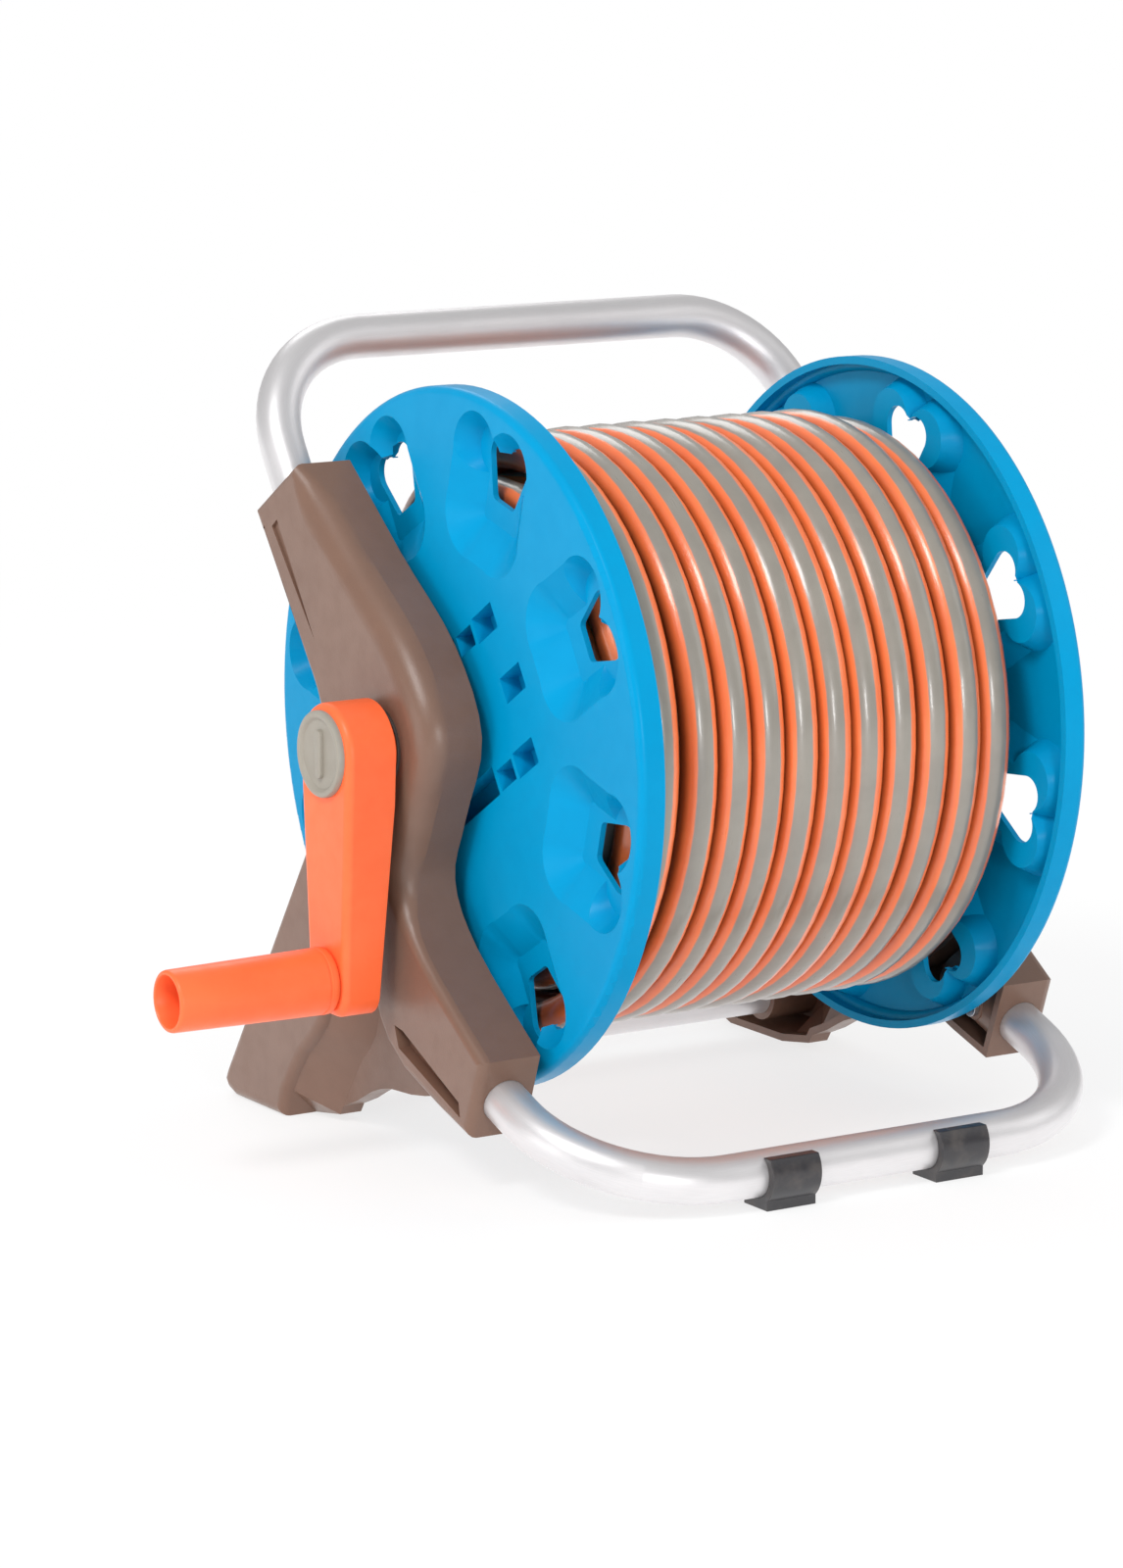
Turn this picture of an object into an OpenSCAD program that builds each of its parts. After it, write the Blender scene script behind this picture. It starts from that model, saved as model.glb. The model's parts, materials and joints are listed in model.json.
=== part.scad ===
// Portable garden hose reel: two moulded side panels joined by bent tubes carry a crank-driven drum
// wound with hose. Millimetres. The drum turns about a line along X, with the crank at -X, the
// operator at -Y and the floor at Z = 0. Lengths named _s are measured along X from the middle
// plane of the drum outwards, so that both sides share them.

/* [Stance] */
// Height of the drum axis above the floor
axle_height = 155.5; // [150:0.5:170]
// Gap between a flange's outer face and its side panel
side_gap = 6; // [5:0.5:10]

/* [Drum] */
// Diameter of the two flanges
flange_d = 260; // [256:1:268]
// Width of the drum over both flanges
drum_w = 194; // [180:1:210]
// Wall of a flange
flange_wall = 3; // [2.5:0.1:4]
// Depth of the lip that turns in at a flange's rim
lip_depth = 10; // [6:0.5:12]
// Thickness of the lip
lip_wall = 3; // [2:0.1:3.5]
// Outer diameter of the barrel between the flanges
barrel_d = 131; // [128:0.5:132]
// Wall of the barrel
barrel_wall = 3; // [2:0.1:3.5]
// How far the hub disc stands into the barrel
hub_depth = 8; // [6:0.5:12]

/* [Flange pockets] */
// Number of pockets round a flange
pocket_count = 8; // [6:1:8]
// Turn of the first pocket from the rear, seen from the far side
pocket_phase = 15; // [0:1:45]
// Depth of a pocket
pocket_depth = 8.4; // [6:0.2:10]
// Wall and floor of a pocket
pocket_wall = 2.2; // [1.8:0.1:3]
// Distance from the axis to the straight inner side of a pocket's mouth
pocket_in_r = 69; // [68.5:0.5:72]
// Distance from the axis to the ends of a pocket's two outer lobes
pocket_out_r = 124; // [121:0.5:124]
// Width of a pocket's mouth
pocket_w = 52; // [48:0.5:53]
// Radius of the mouth's inner corners
pocket_corner = 17; // [12:0.5:18]
// Radius of a lobe at the mouth
lobe_round = 14.5; // [13:0.5:15]
// How far the lobes' walls slope in from the mouth to the floor
lobe_draft = 5.5; // [2:0.5:6]
// Radius of the floor's inner corners, which sets the slope of the inner walls
floor_corner = 3; // [2.5:0.5:8]
// Distance from the axis to the lobes of the hole in the floor
hole_r = 109; // [106:0.5:110]
// Radius of a lobe of the hole
hole_round = 7; // [5:0.1:7]
// Half the distance between the hole's lobes
hole_shift = 6; // [4:0.1:6.5]
// Distance from the axis to the hole's inner side
hole_in_r = 92; // [90:0.5:96]
// Width of the hole's inner side
hole_in_w = 16; // [10:0.5:16]

/* [Hub recesses] */
// Turn of the line through the axis that the recesses are laid out on, from the rear
recess_phase = 148; // [140:1:156]
// Distance from the axis to the single recess on that line
single_recess_r = 51.5; // [48:0.5:52]
// Distance from the axis to the large recess of a row beside the line
row_recess_r = 45; // [43:0.5:45]
// Distance of a row from the line
row_shift = 26.7; // [26:0.1:27]
// Length of a large recess
recess_l = 15.5; // [12:0.5:16]
// Width of a large recess
recess_w = 10; // [8:0.5:10]
// Length of a small recess
small_recess_l = 12; // [8:0.5:12]
// Width of a small recess
small_recess_w = 8; // [6:0.5:9]
// Wall between neighbouring recesses
recess_wall = 2; // [1.5:0.1:3]
// Width of the long recesses beside the hub boss
hub_recess_w = 11; // [8:0.5:12]
// Depth of the recesses
recess_depth = 8; // [4:0.5:8]

/* [Bearings and axle] */
// Diameter of the spigots that the drum turns on
spigot_d = 24; // [22:0.5:26]
// Wall of a bearing bush
bush_wall = 3; // [2:0.1:4]
// Thickness and height of a bush's collar
bush_collar = 2; // [1.5:0.1:3]
// Radial running clearance of every turning fit
running_fit = 0.05; // [0.02:0.01:0.08]
// Clearance of pieces that are pushed together and stay still
seat_fit = 0.1; // [0.05:0.01:0.15]
// Axial play of the drum at each bush
axial_play = 0.3; // [0.2:0.05:0.6]
// Diameter of the hub boss that faces a bush's collar
hub_boss_d = 36; // [32:1:40]
// Outer diameter of the water pipe
pipe_d = 14; // [13:0.5:15]
// Bore of the water pipe
pipe_bore = 8; // [6:0.5:8.5]
// How far the water pipe reaches past the far spigot
pipe_reach = 19; // [17:0.5:22]
// Distance from the middle plane to the pipe's inner end
barb_s = 40; // [36:1:44]
// Bend radius of the hose inside the barrel
tail_bend = 42; // [38:1:46]

/* [Tie bolts] */
// Distance from the axis to the two bolts that clamp the flanges to the barrel
tie_r = 26; // [25:0.5:28]
// Diameter of a tie bolt
tie_d = 6; // [5:0.5:7]
// Diameter of its head, and of the nut over its corners
tie_head_d = 10; // [9:0.5:11]
// Height of the head and of the nut
tie_head_h = 4; // [3:0.5:5]

/* [Hose] */
// Outer diameter of the hose
hose_d = 13.8; // [12.6:0.1:14.2]
// Gap between neighbouring turns
turn_gap = 0.6; // [0.5:0.05:1.2]
// Outer radius of the wound hose
coil_r = 111.5; // [106:0.5:112.5]
// How much lower the winding starts, where it climbs from the layer below
climb = 4; // [2:0.1:5]
// Clearance between the winding and what it lies on or against
lay_gap = 0.3; // [0.2:0.05:0.5]
// Angle at which the winding starts, from the rear towards the top
wind_start = 18; // [0:1:60]
// Diameter of the fitting on the hose's free end
fitting_d = 18; // [16:0.5:18.5]
// Length of that fitting
fitting_len = 40; // [30:1:44]

/* [Side panels] */
// Thickness of a side panel
side_t = 24.5; // [24:0.5:26]
// Wall of the panel's shell
side_wall = 3; // [2:0.1:3.5]
// Thickness of the recessed web between the legs
web_t = 9; // [7:0.5:11]
// Rounding of the panel's outer edge
side_round = 4; // [1:0.25:4.5]
// Rounding of that edge along the front of the arm and the hub
soft_round = 11; // [6:0.5:12]
// Width of the arm in front of the handle's leg
arm_front = 20.5; // [19:0.5:24]
// Width of the arm behind the handle's leg
arm_back = 17; // [13:0.5:20]
// Height of the front block above the front tube's line
block_up = 17.5; // [14:0.5:20]
// Height of the front block below that line
block_down = 14.5; // [12.5:0.5:16]
// Rearmost reach of the rear foot
foot_back = 126; // [120:0.5:129]
// Front end of the rear foot's sole
foot_front = 79; // [76:0.5:84]
// Rounding of the rear foot's heel
heel_round = 9; // [6:0.5:11]
// Outer diameter of the bearing boss inside a panel
hub_d = 42; // [38:1:48]

/* [Tubes] */
// Outer diameter of the tubes
tube_d = 17; // [16:0.5:17.5]
// Wall of the tubes
tube_wall = 1.5; // [1:0.1:2]
// Distance from a panel's inner plane to the line of the front tube's leg
front_in = 11.5; // [11.3:0.1:12]
// Distance from a panel's inner plane to the line of the handle's leg
handle_in = 14; // [12:0.1:14.2]
// Rearward distance of the handle bar from the drum axis
handle_y = 114; // [108:0.5:116]
// Height of the handle bar above the drum axis
handle_z = 137; // [132:0.5:144]
// Backward lean of the handle's legs from upright
handle_lean = 33; // [30:0.5:36]
// Length of a handle leg from the bar's line to the arm
handle_leg = 61; // [58:0.5:70]
// Bend radius of the handle
handle_bend = 45; // [40:1:54]
// Forward distance of the front tube's bar from the drum axis
front_y = 128; // [124:0.5:132]
// Downward slope of the front tube's legs
front_slope = 20; // [17:0.5:22]
// Length of a front leg from the bar's line to the block
front_leg = 66.5; // [60:0.5:68]
// Bend radius of the front tube
front_bend = 55; // [46:1:56]
// Length of the tubes inside their sockets
socket_depth = 34; // [26:1:38]
// Rearward distance of the rear tube
rear_y = 96; // [92:0.5:98]
// Height of the rear tube above the floor
rear_z = 17; // [15:0.5:19]
// Depth of the rear tube's sockets
rear_socket = 16; // [12:0.5:18]

/* [Foot clips] */
// Distance of each foot clip from the middle
clip_x = 37; // [30:1:45]
// Width of a foot clip
clip_w = 21; // [16:1:26]
// Wall of a foot clip
clip_wall = 3; // [2:0.1:3.5]
// Rubber between the front tube and the floor
sole_t = 3.9; // [3.6:0.1:5]
// Width of a foot clip's flat sole
sole_w = 15; // [12:0.5:18]
// Height of a foot clip's front jaw above the tube's line
jaw_front = 7; // [5:0.5:8]
// Height of its rear jaw above the tube's line
jaw_rear = 3; // [2:0.5:5]

/* [Crank] */
// Throw of the crank, from the drum axis to the grip's axis
throw = 84; // [76:1:90]
// Gap between the panel and the crank arm
crank_gap = 3.5; // [3:0.25:8]
// Thickness of the crank arm
arm_t = 20; // [18:0.5:22]
// Width of the arm at the axle
arm_top_w = 37; // [34:0.5:40]
// Width of the arm at the grip
arm_end_w = 26; // [26:0.5:30]
// How much thinner the arm is at the grip
arm_taper = 5; // [0:0.5:6]
// Rounding of the arm's lower corners
arm_corner = 8; // [6:0.5:11]
// Wall of the arm's shell
arm_wall = 3; // [2:0.1:3.5]
// Side of the square drive at the end of the spigot
drive_side = 15; // [13:0.5:15.5]
// Diameter of the round cap over the crank screw
cap_d = 32; // [30:0.5:33]
// Thickness of the cap's rim above the arm
cap_t = 2.5; // [2:0.1:4]
// Diameter of the counterbore that the cap plugs
plug_d = 24; // [22:0.5:26]
// Depth of that counterbore
plug_depth = 8; // [7:0.5:9]

/* [Grip] */
// Length of the grip
grip_len = 65; // [55:1:72]
// Diameter of the grip at the arm
grip_root_d = 25; // [24:0.5:27]
// Diameter of the grip at its free end
grip_end_d = 23; // [21:0.5:24]
// Wall of the grip
grip_wall = 2; // [1.6:0.1:2.5]
// Diameter of the pin that the grip turns on
grip_pin_d = 10; // [8:0.5:11]
// Length of the pin outside the arm
grip_pin_len = 38; // [30:1:44]

/* [Water inlet] */
// Distance from the far panel's face to the inlet's furthest point
inlet_reach = 46.5; // [45:0.5:52]
// Outer radius of the elbow's round body
elbow_r = 13; // [12:0.25:14]
// Outer diameter of the elbow's sleeve
sleeve_d = 24; // [22:0.5:25]
// Diameter of the hose nipple
nipple_d = 16; // [15:0.5:17]
// Bore of the elbow and the nipple
nipple_bore = 9; // [7:0.5:10]
// Length of the nipple past its collar
nipple_len = 27; // [24:0.5:32]
// Where the inlet points: 0 is straight down, 90 is to the rear
inlet_turn = 90; // [0:5:180]

/* [Hidden] */
$fn = 64;

over = 1;
face_s = drum_w / 2;
plate_s = face_s - flange_wall;
hub_s = plate_s - hub_depth;
cup_s = face_s - pocket_depth - pocket_wall;
flange_r = flange_d / 2;
hole_corner = 2.5;
nose_in = 3.5;
wall_tuck = 0.4;
barrel_r = barrel_d / 2;
hub_r = barrel_r - barrel_wall - seat_fit;
tie_end_s = hub_s + tie_head_h + 2;
inner_s = face_s + side_gap;
outer_s = inner_s + side_t;
web_s = inner_s + web_t;
front_s = inner_s + front_in;
handle_s = inner_s + handle_in;
tube_r = tube_d / 2;
floor_z = -axle_height;

spigot_r = spigot_d / 2;
bush_r = spigot_r + running_fit;
bush_out_r = bush_r + bush_wall;
bush_end_s = outer_s + 1;
collar_s = inner_s - bush_collar;
boss_end_s = collar_s - axial_play;
pipe_r = pipe_d / 2;

clip_groove = 1.2;
clip_ring_t = 1.4;
clip_ring_r = spigot_r + 4;
spigot_clip_s = bush_end_s + axial_play;
far_spigot_s = spigot_clip_s + clip_ring_t + 0.8;
pipe_end_s = far_spigot_s + pipe_reach;

// The winding
hose_r = hose_d / 2;
hose_bore_r = pipe_bore / 2 + 1.2;
pitch = hose_d + turn_gap;
wind_r = coil_r - hose_r;
loop_rings = 24;
hose_sides = 6;
chord_loss = wind_r * (1 - cos(180 / loop_rings));
core_r = wind_r - chord_loss - hose_r - lay_gap;
step_r = core_r - climb;
fitting_r = fitting_d / 2;
wind_x0 = cup_s - lay_gap - hose_r;
wind_x1 = -(cup_s - lay_gap - fitting_r);
widen = max(0, fitting_r + hose_r + 2 * turn_gap - pitch + 0.3);
turns = (wind_x0 - wind_x1 - widen) / pitch;
steps = ceil(turns * loop_rings);
end_r = core_r + lay_gap + fitting_r + chord_loss;

// The crank
arm_in_s = outer_s + crank_gap;
arm_out_s = arm_in_s + arm_t;
drive_s = bush_end_s + 0.4;
plug_s = arm_out_s - plug_depth;
drive_end_s = plug_s - 2;
screw_head_h = 3.6;
screw_head_r = 6.5;
screw_r = 2.5;
screw_len = 24;
grip_z = -throw;
grip_s = arm_out_s + axial_play;
grip_end_s = arm_out_s + grip_len;
grip_pin_r = grip_pin_d / 2;
pin_end_s = arm_out_s + grip_pin_len;
grip_web_s = pin_end_s - axial_play;
pin_seat = 10;
grip_screw_head_r = grip_pin_r + 2.5;
grip_screw_head_h = 2.5;

// The inlet
nipple_s = outer_s + inlet_reach - elbow_r;
sleeve_s = far_spigot_s + 0.5;
collar_z = -elbow_r - 3;
collar_t = 3;
nipple_base = 8;
nipple_end_z = collar_z - collar_t - nipple_len;
nipple_r = nipple_d / 2;
seal_z = nipple_end_z + 7;
seal_wire = 1.1;
seal_sink = 2.2;
swivel_wire = 0.7;
barb_len = 26;
tail_x = barb_s - tail_bend;
swivel_groove_r = pipe_r + running_fit - 2 * swivel_wire - 0.02;
groove_w = 2;
seal_a_s = pipe_end_s - 4;
seal_b_s = pipe_end_s - 8;
clip_s = sleeve_s + 5;
clip_wire = 2;
clip_depth_r = pipe_r - 1.2;

// Sockets and tubes
lean_dir = [sin(handle_lean), cos(handle_lean)];
lean_side = [cos(handle_lean), -sin(handle_lean)];
arm_top = [handle_y, handle_z] - handle_leg * lean_dir;
front_z = floor_z + sole_t + tube_r;
slope_dir = [cos(front_slope), sin(front_slope)];
slope_side = [-sin(front_slope), cos(front_slope)];
block_end = [-front_y, front_z] + front_leg * slope_dir;
bore_r = tube_r + seat_fit;
socket_r = bore_r + 2.6;
tube_screw_r = 1.9;
tube_screw_len = 7;
handle_screw_at = arm_top - 22 * lean_dir;
front_screw_at = block_end + 14 * slope_dir;

// The part stands on the floor with its box centred on the origin
x_low = -grip_end_s;
x_high = outer_s + inlet_reach;
y_low = -max(front_y + bore_r + clip_wall, flange_r);
y_high = max(handle_y + tube_r, foot_back, flange_r);
place_at = [-(x_low + x_high) / 2, -(y_low + y_high) / 2, axle_height];

// Places the drum's own frame, whose origin is the middle of the drum axis
module place() { translate(place_at) children(); }
// Turns a shape drawn in Y and Z, and raised along its third axis, to lie along X
module along_x() { rotate([90, 0, 90]) children(); }
module crank_side() { mirror([1, 0, 0]) children(); }
module plate(s0, s1) { along_x() translate([0, 0, s0]) linear_extrude(s1 - s0) children(); }
module rod(r, s0, s1, at = [0, 0]) {
    along_x() translate([at[0], at[1], s0]) cylinder(h = s1 - s0, r = r);
}

function unit(v) = v / norm(v);
function left_of(v) = [-v[1], v[0]];
// Direction from a circle's centre to the left tangent shared with a second circle
function tangent(p, r, q, s) =
    let (u = unit(q - p), a = (r - s) / norm(q - p)) a * u + sqrt(1 - a * a) * left_of(u);
// One point of a smooth curve between b and c, with a and d as their outer neighbours
function between(a, b, c, d, t) =
    0.5 * (2 * b + (c - a) * t + (2 * a - 5 * b + 4 * c - d) * t * t
        + (3 * b - a - 3 * c + d) * t * t * t);
function smooth(p, n = 4) = let (last = len(p) - 1) concat(
    [for (i = [0:last - 1], j = [0:n - 1])
        between(p[max(i - 1, 0)], p[i], p[i + 1], p[min(i + 2, last)], j / n)],
    [p[last]]);
// Moves a closed outline inwards by d, which may differ from point to point; it runs clockwise
function inset(p, d) = let (n = len(p)) [for (i = [0:n - 1])
    let (a = unit(p[i] - p[(i + n - 1) % n]), b = unit(p[(i + 1) % n] - p[i]),
         m = [a[1] + b[1], -a[0] - b[0]])
    p[i] + (is_list(d) ? d[i] : d) * m / max(0.4, 1 + a * b)];
function at_height(p, s) = [for (q = p) [q[0], q[1], s]];
function ease(t) = let (u = min(1, max(0, t))) u * u * (3 - 2 * u);

function turn_at(a, b, c) = (b[0] - a[0]) * (c[1] - a[1]) - (b[1] - a[1]) * (c[0] - a[0]);
function holds(a, b, c, q) = turn_at(a, b, q) <= 0 && turn_at(b, c, q) <= 0 && turn_at(c, a, q) <= 0;
function is_ear(p, ids, i) =
    let (n = len(ids), a = ids[(i + n - 1) % n], b = ids[i], c = ids[(i + 1) % n])
    turn_at(p[a], p[b], p[c]) < 0
    && len([for (j = ids) if (j != a && j != b && j != c && holds(p[a], p[b], p[c], p[j])) j]) == 0;
function ear_from(p, ids, i) = is_ear(p, ids, i) ? i : ear_from(p, ids, i + 1);
// Triangles that fill a closed clockwise outline
function fill(p, ids) = len(ids) == 3 ? [ids] : let (n = len(ids), i = ear_from(p, ids, 0))
    concat([[ids[(i + n - 1) % n], ids[i], ids[(i + 1) % n]]],
        fill(p, [for (k = [0:n - 1]) if (k != i) ids[k]]));

// Skin through closed clockwise outlines of equal length, each above the one before
module loft(rings) {
    n = len(rings[0]);
    levels = len(rings);
    points = [for (ring = rings, p = ring) p];
    sides = [for (k = [0:levels - 2], i = [0:n - 1], h = [0:1])
        let (j = (i + 1) % n)
        h == 0 ? [k * n + i, (k + 1) * n + j, (k + 1) * n + i] : [k * n + i, k * n + j, (k + 1) * n + j]];
    all = [for (i = [0:n - 1]) i];
    top = (levels - 1) * n;
    polyhedron(points, concat(sides,
        [for (t = fill(rings[0], all)) [t[2], t[1], t[0]]],
        [for (t = fill(rings[levels - 1], all)) [t[0] + top, t[1] + top, t[2] + top]]));
}

// Side panels

// Outline of the arm, hub and both legs, clockwise seen from the far side. The rear leg's front edge
// is given apart, because it slopes from the outer face down to the web.
leg_edge_face = [[26, -46], [36, -84], [47, -113], [63, floor_z + 27.5], [76, floor_z + 10.5]];
leg_edge_web = [[19, -46], [24, -84], [32, -116], [43, floor_z + 27.5], [60, floor_z + 3]];
arm_front_corner = arm_top - arm_front * lean_side;
arm_back_corner = arm_top + arm_back * lean_side;
block_top = block_end + block_up * slope_side;
block_bottom = block_end - block_down * slope_side;
front_edge = [block_top, [-28, -73], [-12, -50], [-20, -26], [-32, 6], [-13, 37.5], [26.3, 67],
    arm_front_corner];
function panel_outline(leg_edge) = concat(
    smooth([arm_back_corner, [62, 32], [46, 8], [43, -18], [60, -50],
            [foot_back - 12.5, floor_z + heel_round + 17]]),
    [[foot_back - 2, floor_z + heel_round + 1], [foot_back, floor_z + heel_round - 3],
     [foot_back - 3, floor_z + 2], [foot_back - heel_round, floor_z], [foot_front, floor_z]],
    smooth([for (i = [len(leg_edge) - 1:-1:0]) leg_edge[i]], 2),
    [[16, -44]],
    smooth([[12, -58], [9, -84], [4, -102], [-14, -118], block_bottom], 2),
    smooth(front_edge));
face_outline = panel_outline(leg_edge_face);
web_outline = panel_outline(leg_edge_web);
front_count = len(smooth(front_edge));
// Rounding at each point of the outline, soft from the front block's root to the arm's top
edge_rounds = [for (i = [0:len(face_outline) - 1])
    let (j = i - len(face_outline) + front_count)
    side_round + (soft_round - side_round) * ease((j - 4) / 6) * ease((front_count - 1 - j) / 2)];
// Arched web between the legs
web_area = concat([[14, -40], [24, -70], [50, -118], [70, floor_z + 12]],
    smooth([[62, floor_z + 5], [47, floor_z + 11], [35.5, floor_z + 17], [22, floor_z + 21],
            [6, floor_z + 22], [-15, floor_z + 26], [-33, floor_z + 33]], 2),
    [[-36, -112], [0, -84]]);
slot_area = [[-9, -102], [-12, -110], [-56, -127], [-55, -121.5], [-15, -103]];
groove_areas = [[[89, 69.5], [53, 24], [86, 71.5]], [[80, 72], [48, 33], [76, 75]]];

// The panel's outline at angle a round its rounded outer edge
function edge_ring(a) = let (p = inset(face_outline, edge_rounds * (1 - cos(a))))
    [for (i = [0:len(p) - 1]) [p[i][0], p[i][1], outer_s - edge_rounds[i] * (1 - sin(a))]];
module panel_shape() {
    along_x() loft(concat([at_height(web_outline, inner_s), at_height(web_outline, web_s)],
        [for (a = [0, 22, 45, 67, 90]) edge_ring(a)]));
    plate(inner_s, web_s) polygon(web_area);
}
module panel_hollow() {
    web_in = inset(web_outline, side_wall);
    face_in = inset(face_outline, [for (r = edge_rounds) side_wall + 0.55 * r]);
    along_x() loft([at_height(web_in, inner_s - over), at_height(web_in, web_s - side_wall * 0.6),
        at_height(face_in, outer_s - side_wall)]);
    plate(inner_s - 2 * over, web_s - side_wall) polygon(inset(web_area, side_wall));
}
// Straight stretch of the handle's leg, measured up from the arm's top
module handle_line(r, from, to) {
    translate([handle_s, arm_top[0], arm_top[1]]) rotate([-handle_lean, 0, 0])
        translate([0, 0, from]) cylinder(h = to - from, r = r);
}
// Straight stretch of the front tube's leg, measured back from the block's front face
module front_line(r, from, to) {
    translate([front_s, block_end[0], block_end[1]]) rotate([front_slope - 90, 0, 0])
        translate([0, 0, from]) cylinder(h = to - from, r = r);
}
module panel_inside() {
    rib_t = 2;
    start_s = inner_s - 3 * over;
    rod(hub_d / 2, start_s, outer_s);
    handle_line(socket_r, -socket_depth - 4, over);
    front_line(socket_r, -over, socket_depth + 4);
    rod(socket_r, start_s, outer_s, [rear_y, floor_z + rear_z]);
    rod(5, start_s, handle_s, handle_screw_at);
    rod(5, start_s, front_s, front_screw_at);
    plate(outer_s - 9, outer_s) polygon(inset(slot_area, -2 * side_wall));
    for (at = [[30, 40, 35], [10, 45, -30], [70, -90, 32], [-32, -92, -35]])
        along_x() translate([at[0], at[1], inner_s + 4]) rotate(at[2])
            translate([-60, -rib_t / 2, 0]) cube([120, rib_t, side_t]);
}
module side_panel() {
    color("#80695c") difference() {
        panel_shape();
        difference() { panel_hollow(); panel_inside(); }
        rod(bush_out_r + seat_fit, inner_s - over, outer_s + over);
        handle_line(bore_r, -socket_depth - seat_fit, 20);
        front_line(bore_r, -20, socket_depth + seat_fit);
        rod(bore_r, inner_s - over, inner_s + rear_socket + seat_fit, [rear_y, floor_z + rear_z]);
        for (at = [handle_screw_at, front_screw_at])
            rod(tube_screw_r + seat_fit, inner_s - over, inner_s + tube_screw_len, at);
        plate(outer_s - 5, outer_s + over) polygon(slot_area);
        for (area = groove_areas) plate(outer_s - 1.2, outer_s + over) polygon(area);
    }
}
module crank_side_panel() { place() crank_side() side_panel(); }
module far_side_panel() { place() side_panel(); }

// Tubes

module tube_ring() { difference() { circle(tube_r); circle(tube_r - tube_wall); } }
// Bar along X with two bends and two legs that run along -Y; the bar's middle is the origin
module bent_tube(half_w, bend, leg) {
    bar = half_w - bend;
    color("#b9bcc0") {
        rotate([0, 90, 0]) translate([0, 0, -bar]) linear_extrude(2 * bar) tube_ring();
        for (side = [0, 1]) mirror([side, 0, 0]) translate([bar, -bend, 0]) {
            rotate_extrude(angle = 90) translate([bend, 0]) tube_ring();
            translate([bend, 0, 0]) rotate([90, 0, 0]) linear_extrude(leg - bend) tube_ring();
        }
    }
}
module screw_holes(at, s) {
    for (side = [0, 1]) mirror([side, 0, 0]) rod(tube_screw_r + seat_fit, inner_s - over, s, at);
}
module handle_tube() {
    place() difference() {
        translate([0, handle_y, handle_z]) rotate([90 - handle_lean, 0, 0])
            bent_tube(handle_s, handle_bend, handle_leg + socket_depth);
        screw_holes(handle_screw_at, handle_s);
    }
}
module front_tube() {
    place() difference() {
        translate([0, -front_y, front_z]) rotate([180 + front_slope, 0, 0])
            bent_tube(front_s, front_bend, front_leg + socket_depth);
        screw_holes(front_screw_at, front_s);
    }
}
module rear_tube() {
    end_s = inner_s + rear_socket;
    place() color("#b9bcc0") translate([0, rear_y, floor_z + rear_z])
        plate(-end_s, end_s) tube_ring();
}
module tube_screws() {
    head_h = 2.2;
    place() color("#a8a8ac") for (side = [0, 1], at = [handle_screw_at, front_screw_at])
        mirror([side, 0, 0]) difference() {
            union() {
                rod(3.6, inner_s - head_h, inner_s, at);
                rod(tube_screw_r, inner_s, inner_s + tube_screw_len - seat_fit, at);
            }
            for (turn = [0, 90]) along_x() translate([at[0], at[1], inner_s - head_h]) rotate(turn)
                cube([4, 0.9, 2.4], center = true);
        }
}

// Snap-on rubber foot: a jaw round the tube, lower at the rear, on a flat sole
module foot_clip(x) {
    out_r = bore_r + clip_wall;
    place() color("#2c2c2e") plate(x - clip_w / 2, x + clip_w / 2) translate([-front_y, front_z])
        difference() {
            union() {
                circle(out_r);
                translate([-sole_w / 2, -tube_r - sole_t]) square([sole_w, sole_t + clip_wall]);
            }
            circle(bore_r);
            translate([-out_r, jaw_front]) square([out_r, out_r]);
            translate([0, jaw_rear]) square([out_r, out_r]);
            translate([-out_r - over, -tube_r - sole_t - 2 * over])
                square([2 * out_r + 2 * over, 2 * over]);
        }
}
module left_foot_clip() { foot_clip(-clip_x); }
module right_foot_clip() { foot_clip(clip_x); }

// Bearings

module bush() {
    color("#d9d6cf") difference() {
        union() {
            rod(bush_out_r, collar_s, bush_end_s);
            rod(bush_out_r + 4, collar_s, inner_s);
        }
        rod(bush_r, collar_s - over, bush_end_s + over);
    }
}
module crank_bush() { place() crank_side() bush(); }
module far_bush() { place() bush(); }

// Drum

// A pocket between its floor at s0 and s1 at or above its mouth, grown by g: cones at its two inner
// corners and its two outer lobes, and sloping walls between them
module pocket(g, s0, s1) {
    corner = [pocket_in_r + pocket_corner, pocket_w / 2 - pocket_corner];
    lobe = [pocket_out_r - lobe_round, pocket_w / 2 - lobe_round];
    reach = (s1 - s0) / (face_s - s0);
    in_draft = pocket_corner - floor_corner;
    wide = pocket_w / 2 + g - wall_tuck - in_draft;
    low = pocket_in_r - g + wall_tuck + in_draft;
    for (m = [-1, 1]) {
        translate([corner[0], m * corner[1], s0])
            cylinder(h = s1 - s0, r1 = floor_corner + g, r2 = floor_corner + g + reach * in_draft);
        translate([lobe[0], m * lobe[1], s0]) cylinder(h = s1 - s0,
            r1 = lobe_round - lobe_draft + g, r2 = lobe_round + g + (reach - 1) * lobe_draft);
    }
    translate([corner[0], 0, 0]) along_x() linear_extrude(lobe[0] + nose_in - corner[0])
        polygon([[-wide, s0], [wide, s0], [wide + reach * in_draft, s1], [-wide - reach * in_draft, s1]]);
    translate([0, corner[1], 0]) rotate([90, 0, 0]) linear_extrude(2 * corner[1])
        polygon([[low, s0], [lobe[0], s0], [lobe[0], s1], [low - reach * in_draft, s1]]);
}
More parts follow.
